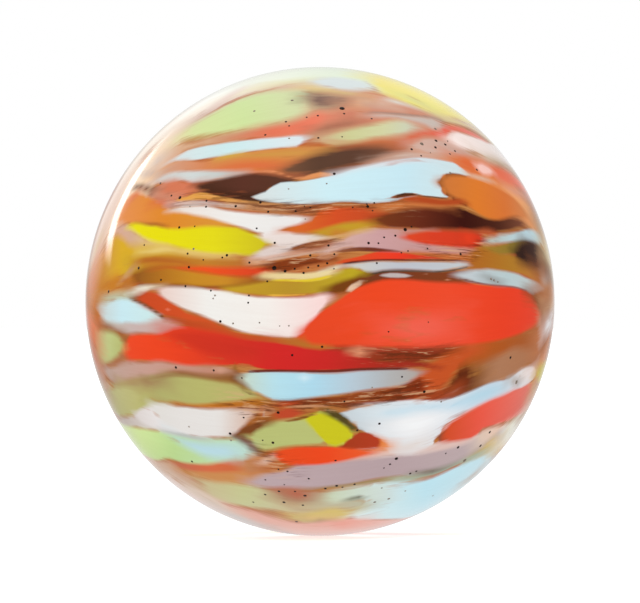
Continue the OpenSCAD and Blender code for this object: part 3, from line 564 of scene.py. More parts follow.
# The white lens
streak(.12, [(235, 205, 195), (243, 241, 236), (246, 240, 234), (252, 215, 212)], [
    [-43, 4.4, 3.6], [-41, 4.8, 1.6], [-39, 5, 0], [-36, 4.8, -1.7], [-32, 4.4, -3.3],
    [-28, 3.8, -4.6], [-24, 3.2, -6.1], [-20, 2.2, -7.5], [-15, 1.4, -8.3], [-10, 1.2, -8.6],
    [-6.5, 1.3, -8.6], [-4.5, 1.4, -7.9], [-2, 1.6, -5], [0, 2, -2.5], [1.6, 2, -0.8],
    [3, 1.5, 0.5]])
streak(.3, [(200, 95, 40), (180, 90, 35), (170, 95, 45)], [
    [30, -15.2, -19], [34, -14, -21.5], [38, -13.7, -21], [42, -13.6, -20.5], [48, -14, -20],
    [54, -14.2, -19.5], [60, -14.2, -24], [65, -13.8, -27], [68, -12, -30], [69.5, -8, -33]])
streak(.3, [(180, 130, 98), (180, 115, 72)], [
    [42, -22, -27], [45, -20.5, -28.8], [50, -19.8, -30.4], [55, -19.5, -33], [60, -23, -35.5],
    [65, -27, -42], [70, -33, -50]])
streak(.4, [(150, 90, 38)], [[37, -20, -26], [40, -19, -28], [43, -21, -26]])
streak(.25, [(202, 86, 40)], [
    [24, -19.5, -20.5], [27, -17.8, -24.5], [30, -15.5, -25], [33, -14.5, -22], [37, -13.8, -19],
    [42, -14, -17]])
streak(.25, [(105, 44, 22), (100, 46, 22)], [
    [32, -26, -28.6], [34, -22.4, -28.8], [36, -19.4, -28.8], [38.4, -20.4, -28.6],
    [40.6, -24.6, -28.4]])
streak(.2, [(165, 70, 35)], [
    [21, -25, -26], [25, -24.8, -27], [29, -25.3, -28.3], [33, -25, -29], [36, -24, -29]])
streak(.2, [(160, 60, 35), (120, 48, 22)], [
    [4, -10.8, -11.8], [8, -11, -13], [12, -11.2, -14.8], [17, -11.5, -15.2], [22, -12, -15.6],
    [27, -12.3, -15.9], [31, -12.6, -15.2], [35, -13.2, -14.2]])
streak(.2, [(160, 95, 48)], [
    [-69, -13, -18], [-66, -12.2, -17.5], [-62, -12, -15.5], [-58, -12.8, -15.4],
    [-55, -13.2, -19], [-54, -14, -24]])
streak(.2, [(180, 115, 75)], [
    [-67, -41, -44], [-64, -36.5, -38.5], [-61, -31, -34], [-58, -25.5, -30], [-56, -22.5, -27],
    [-54.5, -23.8, -25.2]])
# The long red streak
streak(.12, [(244, 76, 38), (242, 72, 36), (228, 64, 38), (216, 42, 40), (205, 42, 38),
             (172, 48, 34), (150, 52, 34)], [
    [-54.8, -20, -23.5], [-54, -15, -24.3], [-52, -13.5, -23.5], [-49, -12.1, -22],
    [-45, -11.1, -20.5], [-42, -10.6, -19.4], [-40, -9.5, -18.9], [-37, -8, -18.8],
    [-33, -7.4, -18.4], [-28, -7.9, -17.3], [-23, -8.5, -16.6], [-18, -9.5, -15.4],
    [-14, -9.9, -16.6], [-9, -10.3, -16.8], [-4, -11, -16.7], [0, -11.4, -16.7], [4, -11.6, -16.8],
    [9, -12.9, -16.5], [14, -14.8, -16.5], [20, -15.4, -16.9], [25, -16.2, -17.5],
    [30, -18.2, -18.9]])
# The big red lens
streak(.12, [(232, 74, 38), (240, 74, 36), (242, 78, 46), (240, 68, 38), (240, 66, 38)], [
    [-4.6, -6.6, -8.4], [-2.8, -5, -9.8], [0, -2.8, -10.4], [3, -0.7, -10.6], [6, 1.3, -10.6],
    [10, 3.6, -10.7], [14, 5.1, -11], [20, 5.6, -11.6], [28, 5.3, -12.2], [36, 5.5, -13],
    [44, 5.3, -13.7], [52, 5.6, -14.2], [58, 5.2, -14.3], [62, 3.6, -14.2], [65, 0, -13.9],
    [67, -4, -13], [67.9, -7.5, -10.5]])
streak(.2, [(120, 60, 30)], [
    [60, 5.4, 4.6], [63, 4.4, 2.6], [66, 1.6, -1.4], [68.2, -2, -6], [69.2, -6, -11]])
streak(.4, [(172, 92, 50), (185, 110, 70)], [
    [67.5, 6, -1], [69, 6, -9], [71, 4, -16], [74, 0, -14]])
streak(.12, [(232, 158, 118)], [
    [7, -11.6, -12.4], [8.4, -11, -13.2], [10, -11.1, -13.2], [11.4, -11.8, -12.6]])
# A painted highlight: the soft pink glow of light on the big red lens.
streak(.6, [(245, 100, 80)], [[16, -5, -8], [22, -3.6, -10.2], [28, -3.6, -10.4], [33, -5, -9]])
streak(.2, [(205, 190, 135), (202, 210, 140), (188, 190, 115)], [
    [-70, -24, -44], [-68, -19.5, -43], [-66, -17.6, -40], [-63, -16, -34], [-60, -15.3, -28.6],
    [-58, -15.5, -25], [-56.5, -16.8, -22.6], [-55.7, -19, -20.6]])
streak(.15, [(165, 105, 70), (160, 105, 40)], [
    [-42, -24.4, -25], [-38, -21.6, -23], [-34, -20.6, -21.9], [-30, -20.3, -21.7],
    [-26, -19.9, -21.5], [-22, -18.8, -21.6], [-20, -16.2, -21.4], [-18.5, -21, -22.6]])
streak(.2, [(200, 172, 158), (205, 160, 145), (195, 135, 110)], [
    [-66, -41.5, -46], [-62, -36, -45], [-58, -30.3, -39.5], [-54, -25.3, -33.6],
    [-50, -23, -29.6], [-46, -21.1, -26.8], [-42, -19.5, -24.2], [-38, -19, -21.4],
    [-34, -18.6, -20.5], [-30, -17.9, -20.3], [-26, -17.4, -19.9], [-22.5, -18, -18.9]])
streak(.12, [(225, 175, 150)], [[-25, -17.9, -18.6], [-23.4, -17.8, -19], [-21.6, -18, -18.6]])
streak(.25, [(185, 150, 100), (182, 172, 108)], [
    [-58, -39.5, -46], [-54, -34, -44], [-50, -30, -40], [-46, -27, -37], [-42, -24.6, -35],
    [-40, -23.8, -33]])
streak(.15, [(182, 178, 112), (188, 186, 112), (192, 180, 110)], [
    [-44, -26, -33], [-40, -23.8, -32.5], [-36, -22.2, -31.4], [-32, -21.7, -30.3],
    [-28, -21.4, -28.8], [-24, -21.4, -27.3], [-20, -21.4, -26.1], [-16.5, -22.9, -25.1],
    [-14, -24.4, -24.7]])
streak(.12, [(195, 125, 60), (202, 120, 38), (180, 110, 40)], [
    [-36, -31.3, -31.5], [-33, -30.6, -31.1], [-30, -29.5, -30.4], [-26, -28, -29.3],
    [-22, -26.7, -28.4], [-18, -25.4, -27.5], [-15, -24.4, -27], [-13, -24.8, -26]])
streak(.12, [(122, 66, 32)], [[-22, -18, -20], [-20.4, -18, -21.6], [-18.6, -18.8, -22.8]])
# The pale blue one under it
streak(.12, [(205, 218, 196), (186, 228, 240), (178, 222, 240), (188, 206, 218), (182, 182, 182),
             (178, 165, 155)], [
    [-19.6, -19, -20.2], [-18, -17.9, -21.8], [-16, -17.4, -22.5], [-14, -17.2, -23.6],
    [-12, -17.1, -24.6], [-9, -17, -24.7], [-5, -17, -24.1], [0, -17.1, -23.4], [5, -16.9, -22.9],
    [10, -16.7, -22.3], [15, -16.8, -22.1], [19, -17, -22], [22, -17.4, -21.1],
    [24.2, -18.1, -19.9], [26, -18.8, -19.3]])
streak(.2, [(170, 100, 45)], [[-20, -28, -31], [-17, -27, -35], [-14, -27, -34], [-10, -27, -30]])
streak(.09, [(122, 72, 36)], [
    [-53, 1.7, 0.8], [-50, 0.7, -0.4], [-47, -0.6, -1.8], [-44, -2.3, -3.4], [-41, -4.2, -5.5],
    [-39.5, -5.4, -6]])
streak(.35, [(214, 58, 34), (205, 48, 38)], [
    [-40, -8.8, -10.4], [-37, -8.2, -11.8], [-33, -7.8, -13], [-28, -8.1, -14.6],
    [-23, -8.7, -15.2], [-18, -9.7, -15.2], [-14, -10, -14.5]])
streak(.15, [(150, 108, 72), (140, 95, 50)], [
    [-47, -28, -29.5], [-44, -25.6, -27.4], [-40, -23, -24.5], [-36, -21.4, -22.6],
    [-32, -20.7, -21.7], [-27, -20.2, -21.2], [-22, -18.9, -20.6]])
streak(.3, [(170, 128, 92), (168, 140, 95)], [
    [-58, -41, -46], [-54, -35.5, -41], [-50, -30.5, -36], [-46, -27.5, -32], [-43, -25.8, -29.5],
    [-40, -24.8, -27]])
streak(.3, [(188, 190, 114)], [
    [-55, -40, -44], [-52, -37.5, -42], [-49, -35, -40.5], [-46, -32.5, -37]])
streak(.12, [(120, 50, 22), (150, 72, 32), (125, 45, 20)], [
    [-10, -24.9, -25.4], [-6, -24.4, -25.3], [-3, -23.8, -25.4], [0, -23.5, -25.2],
    [3, -23.3, -25.4], [6, -22.9, -26], [10, -22.4, -25.4], [14, -22.2, -25.6], [18, -22.1, -25.4],
    [20, -21.8, -25.3], [22, -21.4, -25.6], [24.5, -20.5, -24.6], [25.5, -21.5, -24.6]])
streak(.1, [(190, 75, 40)], [[-11, -25.4, -26.8], [-8, -24.9, -26.3], [-5, -24.8, -25.8]])
streak(.1, [(195, 75, 45)], [
    [-10.5, -27, -29.8], [-8, -26.4, -29.8], [-6, -26.4, -29], [-4.5, -26.8, -28.5]])
streak(.06, [(200, 140, 100)], [
    [-9.5, -26.2, -26.6], [-5, -25.5, -26.3], [0, -25.3, -26], [3, -25.4, -25.9]])
streak(.06, [(195, 120, 85)], [
    [16, -23.2, -23.8], [20, -23.5, -24.2], [24, -24.1, -24.8], [28, -24.9, -25.4],
    [31, -25.2, -25.5]])
streak(.06, [(232, 120, 90)], [[-40.4, -2.2, -2.8], [-39.2, -1.9, -3.1], [-38, -2.2, -2.8]])
streak(.06, [(190, 125, 85)], [
    [-14.6, -26.4, -27.6], [-13, -26, -29.6], [-11.4, -26.4, -28.6], [-10.4, -27, -27.8]])
streak(.25, [(205, 200, 145), (195, 190, 120)], [
    [-66, -70, -86], [-64, -60, -86], [-62, -52, -80], [-60, -45.5, -72], [-58, -41, -66],
    [-56, -38.5, -60], [-54, -36.5, -55], [-52, -35, -51], [-50, -33.5, -47], [-48, -32, -43]])
streak(.15, [(208, 190, 180), (235, 230, 225)], [
    [-59, -70, -84], [-57, -63, -76], [-55, -57.5, -68], [-53, -53, -62], [-51, -47.6, -57.5],
    [-49, -42.6, -54.8], [-47, -39.4, -52.4], [-44, -36, -49], [-41, -34.2, -46.8],
    [-38, -33.4, -45]])
streak(.12, [(232, 222, 218), (240, 234, 232), (238, 234, 230)], [
    [-51.8, -48.4, -51], [-50, -44.8, -51.4], [-48, -41.8, -50.6], [-45, -38.4, -48.6],
    [-42, -35.8, -46.4], [-38, -34, -44], [-34, -32.6, -42]])
streak(.15, [(232, 228, 222), (236, 232, 228), (236, 232, 228), (215, 170, 145)], [
    [-46, -36, -39], [-42, -34.7, -42], [-38, -33.3, -42.5], [-34, -31.7, -42], [-30, -30.7, -41],
    [-26, -29.6, -39.2], [-23, -28.7, -37.8], [-20.5, -28.1, -36], [-18, -27.5, -32.8],
    [-16, -27.2, -29.8], [-14.5, -27.3, -28]])
streak(.06, [(95, 84, 34)], [
    [1.5, -26.3, -28], [4, -27.8, -29.8], [6, -29.3, -31.2], [8, -31.4, -33]])
# The olive one of the middle
streak(.15, [(190, 196, 122)], [
    [-17.3, -34.8, -36], [-15.5, -32.7, -39.2], [-13, -31.4, -39.6], [-10, -30.1, -38.2],
    [-6, -29.1, -37], [-2, -28.4, -36.6], [0.5, -27.2, -36.5], [2.5, -28.4, -36.4],
    [5, -30.3, -36.2], [7, -32.2, -35.9], [8, -34, -34.8]])
# The yellow one that crosses its end
streak(.1, [(208, 202, 34)], [
    [-4.6, -28.7, -29], [-3.4, -28.3, -29.6], [-2, -27.8, -31.5], [0, -27.3, -34.2],
    [2, -27.8, -36.6], [3.4, -28.8, -37], [5.4, -30.5, -36.5], [7, -32, -35.7],
    [8.1, -33.3, -34.7]])
# The wide white one of the lower right
streak(.09, [(200, 212, 218), (238, 238, 240), (205, 222, 236), (250, 236, 230)], [
    [3.8, -27.4, -27.9], [5, -27.1, -28.6], [7, -26.8, -30.3], [9, -26.4, -32.6],
    [11, -26.1, -34.4], [13, -25.8, -36.2], [15, -25.6, -39.6], [18, -25.5, -42.6],
    [21, -25.7, -44.2], [25, -26.4, -44.8], [28, -27.4, -43], [30, -27.9, -40.2],
    [31, -28.1, -38.1], [33, -28.4, -37.1], [37, -28.4, -36.4], [41, -28.3, -36.2],
    [45, -28.5, -36.6], [49, -29.9, -38], [52, -31.5, -39.5], [55, -31.6, -41], [58, -32, -44],
    [61, -33.9, -47], [64, -37.6, -50], [66, -43, -52]])
streak(.06, [(140, 88, 38)], [[-8.6, -30, -30.6], [-4.4, -28.6, -29.5], [-1.2, -27.3, -28.2]])
streak(.1, [(84, 68, 30), (92, 78, 40)], [
    [0.6, -26.2, -27.4], [2.4, -26.6, -28.6], [4.5, -27.6, -30], [6.3, -29, -31.6],
    [7.8, -30.7, -33.4], [9.2, -32.4, -34.4]])
streak(.1, [(128, 72, 36)], [
    [-20.5, -35.8, -37.2], [-19, -33.8, -36.4], [-17, -32.4, -35.6], [-14.6, -30.8, -33.2],
    [-12, -29.8, -31.4]])
streak(.1, [(118, 62, 34)], [[-19.8, -36.4, -38.4], [-17.8, -36.6, -40], [-15.4, -38.6, -41.6]])
streak(.05, [(112, 46, 34)], [
    [-18, -17.5, -18.2], [-12, -16.7, -17.4], [-5, -16.5, -17.1], [3, -16.4, -17.1],
    [10, -16.2, -16.9], [17, -16.6, -17.3], [22, -17.2, -17.8]])
streak(.12, [(232, 215, 210), (225, 200, 192)], [
    [22, -42.6, -45], [27, -42.6, -46.2], [30, -43.4, -46.8], [34, -44.8, -48], [38, -46.8, -49.8],
    [42, -49.2, -51.6]])
# A painted highlight: a small pale glint on the pale blue one.
streak(.1, [(225, 245, 252)], [[-4.6, -17.8, -18.8], [-3.6, -17.5, -19.4], [-2.6, -17.8, -18.8]])
streak(.5, [(250, 251, 252)], [
    [17, -30, -35], [21, -30, -37.5], [26, -31, -37.5], [31, -32.6, -35.6]])
streak(.3, [(208, 226, 234), (212, 232, 242), (190, 222, 238), (188, 222, 238), (188, 222, 238)], [
    [11, -27.6, -29.4], [14, -27, -30.4], [18, -26.6, -31], [23, -27, -31], [28, -28.4, -31.2],
    [33, -29.5, -33], [38, -29.4, -34], [43, -29.6, -34.4], [48, -31, -35.2], [51, -32.8, -35.9]])
streak(.4, [(232, 222, 216)], [[18, -39, -41], [22, -39, -42.4], [26, -39, -42]])
streak(.15, [(228, 112, 48), (232, 130, 62), (242, 160, 110)], [
    [11.6, -34.4, -38], [13.2, -34.8, -40.4], [15.4, -36, -41], [17.6, -37.8, -40.6]])
# The dark red wedge at its left
streak(.09, [(168, 62, 30), (184, 64, 38)], [
    [5.2, -36.9, -37.7], [7, -35.6, -38.2], [8.6, -33.7, -38.3], [10.4, -33.5, -38.6],
    [12.4, -34.3, -39.2], [13.9, -35.4, -39.2]])
streak(.2, [(185, 160, 140), (150, 135, 125)], [
    [52.6, -31.8, -33.4], [54.4, -33, -37], [56, -34.6, -39.4], [57, -37, -40]])
streak(.25, [(240, 232, 226), (255, 240, 238)], [
    [56.6, -33, -35], [58, -32.8, -39.4], [60.5, -33.8, -42.4], [63, -36.6, -44.4],
    [65, -40, -46]])

# Streaks of the underside: red, coral and mauve glass, then pale green, pale blue, gold and
# pink towards the bottom rim.
streak(.4, [(205, 165, 145)], [[-71, -46, -60], [-67, -50, -70], [-64, -56, -72]])
streak(.4, [(222, 122, 66)], [[-78, -40, -58], [-74, -40, -62], [-70, -44, -56]])
streak(.5, [(238, 205, 190)], [[-46, -74, -92], [-34, -74, -92], [-24, -76, -94], [-14, -84, -96]])
streak(.3, [(225, 188, 162), (210, 165, 135)], [
    [-47, -76, -86], [-44, -69, -84], [-41, -63, -78], [-38, -60.5, -70.5], [-34, -62, -68],
    [-30, -64, -66]])
streak(.3, [(212, 195, 150), (206, 206, 150), (205, 195, 155)], [
    [-30, -60, -66], [-26, -57.5, -68], [-22, -55.2, -67], [-18, -54, -65.4], [-14, -54, -64],
    [-10, -56, -62.5], [-7, -60, -62]])
streak(.3, [(176, 132, 100)], [[-11, -54, -58], [-6, -53, -61], [-1, -54, -60]])
streak(.3, [(188, 104, 76)], [[-9.5, -52, -54], [-6, -52, -56], [-2.5, -53, -55]])
streak(.3, [(212, 145, 85)], [
    [-37, -61, -63.5], [-34, -58.8, -61.5], [-30, -55.2, -59], [-26, -52.3, -57.5],
    [-22, -49.8, -55], [-18, -47.5, -53], [-16, -48, -51]])
streak(.15, [(200, 110, 80), (222, 112, 72), (212, 108, 62)], [
    [-38, -58.6, -61.5], [-35, -56, -59.6], [-32, -53.4, -57.2], [-29, -51.2, -54.8],
    [-26, -48.6, -52.8], [-23, -46.2, -50.8], [-20.5, -45, -49.4], [-17.8, -45.4, -48]])
# The mint one of the lower left
streak(.2, [(240, 252, 190), (224, 246, 168), (196, 226, 150), (196, 226, 170), (198, 226, 200)], [
    [-60, -84, -98], [-56, -69, -96], [-53, -61, -90], [-50, -55.5, -84], [-47, -51.5, -76],
    [-44, -48.4, -69], [-40, -45.6, -60], [-36, -43.6, -56.5], [-32, -42, -53.6],
    [-28, -40.4, -50.8], [-25, -39.3, -48.3], [-22, -37.9, -46], [-19.5, -38, -44.8],
    [-17.5, -39.4, -42.8], [-16.3, -40.8, -41.3]])
streak(.35, [(192, 226, 234)], [
    [-38, -45, -46.6], [-33, -43.4, -47.8], [-28, -41.4, -47.8], [-23, -39.8, -46],
    [-19, -39.5, -43.8]])
streak(.12, [(195, 190, 190)], [
    [-42, -45.5, -47.5], [-38, -43.3, -45.5], [-34, -41.8, -43.8], [-30, -40.4, -42.4],
    [-27, -39.8, -41]])
streak(.12, [(215, 180, 145)], [
    [-67, -62, -70], [-65.5, -56, -64], [-64, -51, -57], [-62.5, -47.5, -51.5]])
streak(.2, [(200, 140, 95), (190, 100, 50)], [
    [-19, -44, -48], [-17, -42, -49.5], [-15, -41, -48], [-13, -40.5, -47], [-11, -42, -46.5],
    [-9, -43, -45.3]])
streak(.12, [(122, 72, 34), (135, 80, 34)], [
    [-19, -36.5, -37.5], [-17.8, -36.9, -38.8], [-16.2, -38.3, -40.4], [-14.5, -39.6, -41.4],
    [-13, -40, -41]])
streak(.12, [(222, 180, 158)], [
    [-15.4, -44, -45.2], [-14, -42.6, -45.4], [-12.5, -41, -44], [-11, -40.2, -42.4],
    [-10.3, -40.6, -41.6]])
streak(.3, [(228, 170, 152), (232, 205, 195)], [
    [4, -41.2, -42.6], [9, -40.2, -43], [14, -39.8, -43.4], [20, -41.4, -44]])
# The long mauve one
streak(.2, [(195, 172, 175), (188, 165, 168), (200, 182, 182)], [
    [-18, -52, -53.2], [-15, -48.8, -53.6], [-12, -47, -53], [-9, -45.6, -52], [-6, -43.6, -51.6],
    [-2, -42.5, -51.7], [2, -42, -50.8], [7, -41.6, -50.4], [12, -41.6, -49.9], [17, -41.9, -50.2],
    [21, -42.9, -51.6], [26, -44.4, -53.3], [31, -45.4, -54.8], [36, -47.6, -56.4],
    [41, -50, -57.5], [46, -53, -62], [50, -57, -67]])
# The red one over it
streak(.12, [(235, 80, 35), (243, 75, 32), (240, 100, 50)], [
    [-11.2, -39.8, -40.8], [-9.5, -38.8, -42.4], [-6, -37.7, -43.2], [-2, -37.4, -43],
    [2, -37.4, -42.6], [6, -38, -41.9], [10, -38.8, -41], [13.5, -39.8, -40.6]])
streak(.15, [(226, 198, 190), (232, 196, 186)], [
    [24, -42.6, -44.6], [28, -42.8, -45.8], [32, -43, -47.2], [36, -45, -48.6], [40, -47.4, -50]])
streak(.15, [(238, 148, 138), (244, 150, 140)], [
    [31.6, -37.6, -38.8], [36, -35.6, -37.4], [41, -35, -37], [46, -35.6, -38], [50, -37.2, -40],
    [54, -39.4, -42]])
streak(.06, [(112, 76, 56)], [
    [28.4, -41, -41.5], [29.8, -40.2, -42.4], [31, -39.2, -43], [32.4, -38.6, -43],
    [33.6, -38.4, -42.6]])
# The coral one of the lower right
streak(.12, [(215, 80, 40), (243, 92, 72), (242, 112, 96), (242, 135, 120)], [
    [30.9, -40, -43.2], [32, -38.2, -44.2], [33, -37.2, -44.6], [37, -36.4, -46.8],
    [41, -36.1, -48.2], [43, -36.2, -46.8], [46, -36.4, -48.8], [49, -37.6, -51.3],
    [52, -38.7, -55.2], [55, -40.2, -59], [58, -43.2, -64.5], [61, -46.4, -72], [63, -50.3, -78],
    [64.5, -58, -80], [65.5, -72, -82]])
streak(.2, [(228, 205, 188), (250, 212, 190)], [
    [40.5, -49.2, -55], [43, -47.5, -56], [46, -49.3, -56.5], [49, -51.8, -57], [51, -54.5, -58]])
streak(.25, [(190, 165, 105), (218, 176, 70), (232, 184, 96)], [
    [40, -56.8, -59], [42, -57, -63], [44, -56.8, -67], [46, -56.5, -71], [48, -58, -76],
    [50, -64, -82]])
# A painted highlight: the warm white glare on the lower right.
streak(.5, [(255, 252, 236)], [[48.5, -60, -70], [52, -58, -78], [58, -64, -82]])
streak(.3, [(218, 165, 120)], [[62.5, -56, -80], [65, -50, -82], [67.5, -56, -82]])
streak(.3, [(235, 155, 108)], [[66, -42, -56], [70, -40, -60], [74, -44, -60]])
streak(.2, [(225, 205, 80)], [
    [65, -43.5, -47], [67, -45.5, -56], [69, -48.3, -74], [71, -53, -86], [73, -62, -88],
    [74.5, -74, -88]])
# The pale blue one of the lower rim
streak(.25, [(225, 240, 236), (198, 238, 250), (215, 246, 255)], [
    [7, -64, -66], [9.5, -62.5, -68.5], [12, -53, -70], [15, -52.4, -72.5], [19, -53, -77],
    [23, -54.8, -84], [28, -56.8, -93], [33, -57.2, -99], [38, -59.4, -98], [42, -61.6, -92],
    [46, -66, -86]])
streak(.4, [(198, 188, 176)], [[37.6, -74, -80], [40, -73, -82], [43.5, -73, -82]])
streak(.3, [(148, 136, 82)], [[-2, -66, -68.4], [-0.4, -65.4, -68.6], [1, -65.2, -67]])
streak(.35, [(205, 178, 130), (196, 184, 150), (190, 190, 165)], [
    [-8, -58.6, -61], [-3, -58, -62], [3, -56.8, -62], [8, -56.6, -63.4], [13, -58.6, -63]])
streak(.3, [(205, 215, 180), (215, 230, 228)], [
    [0, -54, -57.5], [3, -52.2, -58.3], [6, -51.6, -57.5], [10, -51.3, -57], [14, -51.6, -60.5],
    [18, -52.4, -62]])
streak(.12, [(165, 125, 80), (165, 138, 82)], [
    [-3, -51.4, -52], [3, -50.4, -51.4], [8, -49.9, -50.9], [13, -49.6, -51], [17, -50, -51.5],
    [20, -51, -52.4]])
streak(.2, [(178, 186, 160), (172, 182, 162), (185, 195, 175)], [
    [17, -50.4, -52.2], [22, -51.2, -54.4], [26, -52.4, -55.6], [30, -53.8, -56.6],
    [35, -55.2, -57.6], [40, -57, -60.6], [45, -60.4, -64.4]])
streak(.2, [(140, 128, 116), (124, 112, 100), (150, 138, 124)], [
    [22.5, -50.8, -51.8], [25, -51.4, -53.4], [28, -52.6, -55], [31, -54, -55.7],
    [35, -55.4, -56.2]])
streak(.12, [(84, 88, 64), (58, 62, 44), (78, 82, 62)], [
    [6.4, -56.6, -57.4], [8, -55.6, -57.2], [9.8, -55.8, -57], [10.8, -56.6, -57.2]])
streak(.3, [(218, 190, 105)], [
    [-6, -64.5, -67], [-3, -62.8, -68.6], [0, -61, -66.5], [3, -60.2, -67], [6, -61.3, -66.4],
    [8, -62, -64]])
streak(.4, [(235, 170, 150), (240, 175, 160)], [
    [-22, -68, -74], [-18, -66.8, -78], [-12, -68, -88], [-6, -69.5, -95], [0, -68.5, -98],
    [5, -67.6, -92], [10, -69.6, -88], [15, -73, -90], [19, -78, -92], [24, -86, -95]])
streak(.4, [(230, 204, 182)], [
    [-37, -69.6, -75], [-32, -67.4, -76], [-27, -67.4, -77], [-22, -70, -76]])
streak(.5, [(240, 150, 128)], [[2, -67.6, -70], [5, -67.4, -75], [9, -69, -75]])
streak(.5, [(205, 188, 182)], [[-26, -74, -82], [-19, -74, -84], [-13, -77, -84]])

# The two ends, where the streaks run together and are hard to see from the front. Each has short
# bands of the same glasses, laid close round it and soft at their edges.
# Near the rim they are partly the glass's own streaks and partly a painted reflection of the
# streaks in the clear glass there.
streak(.4, [(214, 116, 28)], [[-88, 36, 4], [-78, 38, 2], [-70, 40, 6]])
streak(.4, [(208, 116, 20)], [[-88, 2, -12], [-78, 2, -12], [-70, 0, -10]])
streak(.4, [(242, 134, 84)], [[-88, -14, -44], [-78, -14, -42], [-70, -16, -38]])
streak(.3, [(215, 180, 125)], [[-74, 50, 41], [-71, 51, 40], [-68, 50, 42]])
streak(.3, [(145, 80, 36)], [[62, 5, 2], [65, 5.6, -1], [69, 6, -4], [73, 4, -2]])
streak(.4, [(212, 140, 85)], [[70, 7, 1], [75, 8, 0], [84, 8, 0]])
streak(.4, [(172, 98, 44), (222, 155, 105)], [[66, 19, 9], [72, 22, 8], [84, 20, 8]])
streak(.3, [(205, 200, 195), (150, 116, 92)], [
    [71.5, 19, 15], [74, 24, 18], [77, 32, 24], [79.5, 42, 34]])
streak(.3, [(160, 94, 52), (160, 96, 52)], [[70, 31, 23], [75, 36, 26], [78, 40, 32]])
streak(.3, [(150, 105, 75)], [[70.5, 27, 23], [73, 33, 28], [77.5, 42, 37]])
streak(.3, [(200, 170, 125)], [[69, 38, 31], [72, 41, 30], [75, 42, 34]])
streak(.4, [(182, 145, 118)], [[65, 70, 54], [69, 78, 50], [72, 74, 54]])
streak(.4, [(232, 212, 165)], [[70, 62, 44], [75, 76, 40], [80, 70, 44]])
streak(.3, [(180, 125, 85)], [[69, -6, -11], [72, -5, -12], [74, -6, -11]])
streak(.4, [(232, 192, 150)], [[71, -3, -8], [76, -2, -8], [84, -3, -8]])
streak(.4, [(198, 120, 72)], [[64, -17, -34], [68, -15, -38], [71.5, -17, -38]])
streak(.3, [(255, 250, 250)], [[70.5, -14, -28], [74, -12, -31], [80, -14, -38]])

# The ball's skin: one closed mesh with a ring of points at each step along the axis and a point
# at each end. Its rows of points run with the glass, as it was drawn: each starts at its own
# turn halfway along and is carried to the two ends by the lean of the streaks beside it.
DRAG_REACH, DRAG_LENGTH = 0.7, 40      # mm beside a streak, degrees of a streak that pulls fully
STILL, STEEPEST = 0.4, 2.5             # pull of glass that doesn't lean, and the steepest lean
NARROWEST = 0.3                        # degrees

flow, weight = np.zeros(shape), np.full(shape, STILL)
for s in streaks:
    beside = np.maximum(-s.depth(turn[None, :]), 0) / DRAG_REACH
    pull = np.exp(-beside ** 2) * (s.ends[1] - s.ends[0]) / DRAG_LENGTH
    half = np.maximum(s.width, NARROWEST)[:, None] / 2
    fan = np.clip(s.off_middle(turn[None, :]) / half, -1, 1)
    flow += pull * (s.lean[:, None] + 0.5 * s.spread[:, None] * fan)
    weight += pull
flow = np.clip(flow / weight, -STEEPEST, STEEPEST)

TURN = np.empty(shape)
halfway = len(along) // 2
TURN[halfway] = turn
for rings, way in ((range(halfway, len(along) - 1), 1), (range(halfway, 0, -1), -1)):
    for i in rings:
        j = i + way
        step = along[j] - along[i]
        here = np.interp(TURN[i], turn, flow[i], period=360)
        there = np.interp(TURN[i] + step * here, turn, flow[j], period=360)
        TURN[j] = TURN[i] + step * (here + there) / 2

per_ring, count = len(turn), len(along) * len(turn)
ALONG = np.radians(np.repeat(along, per_ring))
ROUND = np.radians(TURN.ravel())
lane = np.radians(np.tile(turn, len(along)))
points = R / 1000 * np.stack([np.sin(ALONG), -np.cos(ALONG) * np.cos(ROUND),
                              np.cos(ALONG) * np.sin(ROUND)], 1)
end_points = [[-R / 1000, 0, 0], [R / 1000, 0, 0]]
here = np.arange(per_ring)
after = (here + 1) % per_ring
ring = np.arange(len(along) - 1)[:, None] * per_ring
quads = np.stack([ring + here, ring + after, ring + per_ring + after, ring + per_ring + here],
                 -1).reshape(-1, 4)
last = count - per_ring
left_end = np.stack([np.full(per_ring, count), after, here], 1)
right_end = np.stack([np.full(per_ring, count + 1), last + here, last + after], 1)
ball_mesh = bpy.data.meshes.new("marble_ball")
ball_mesh.from_pydata(points.tolist() + end_points, [],
                      quads.tolist() + left_end.tolist() + right_end.tolist())
ball_mesh.polygons.foreach_set("use_smooth", [True] * len(ball_mesh.polygons))
ball_mesh.update()
ball = bpy.data.objects.new("marble_ball", ball_mesh)
bpy.context.collection.objects.link(ball)


def keep_on_points(name, kind, values):
    """Stores one value for each point of the ball, with the mean of the end rings at the ends."""
    ends = np.stack([values[:per_ring].mean(0), values[last:].mean(0)])
    data = np.concatenate([values, ends]).astype(np.float32)
    ball_mesh.attributes.new(name, kind, "POINT").data.foreach_set(
        {"FLOAT": "value", "FLOAT_COLOR": "color", "FLOAT_VECTOR": "vector"}[kind], data.ravel())


# Where a later streak crosses an earlier one, the earlier one gives way to it. Streaks that keep
# clear of one another then share a layer of colour.
TOUCH, CLEAR = -1, -2.3        # levels at which two streaks meet, and at which one is out of sight
levels = np.array([s.level(TURN).ravel() for s in streaks])
for i in range(len(streaks)):
    mine = levels[i] > TOUCH
    for j in range(i + 1, len(streaks)):
        if (mine & (levels[j] > TOUCH)).any():
            np.minimum(levels[i], -levels[j], out=levels[i])
reach = levels > CLEAR
layers = []
for i in sorted(range(len(streaks)), key=lambda i: -reach[i].sum()):
    for members in layers:
        if not any((reach[i] & reach[j]).any() for j in members):
            members.append(i)
            break
    else:
        layers.append([i])

shades = np.array([s.rgb() for s in streaks])
ring_of_point = np.repeat(np.arange(len(along)), per_ring)
for k, members in enumerate(layers):
    top = np.array(members)[levels[members].argmax(0)]
    keep_on_points(f"layer_{k}", "FLOAT_COLOR", np.concatenate(
        [shades[top, ring_of_point], levels[members].max(0)[:, None]], 1))

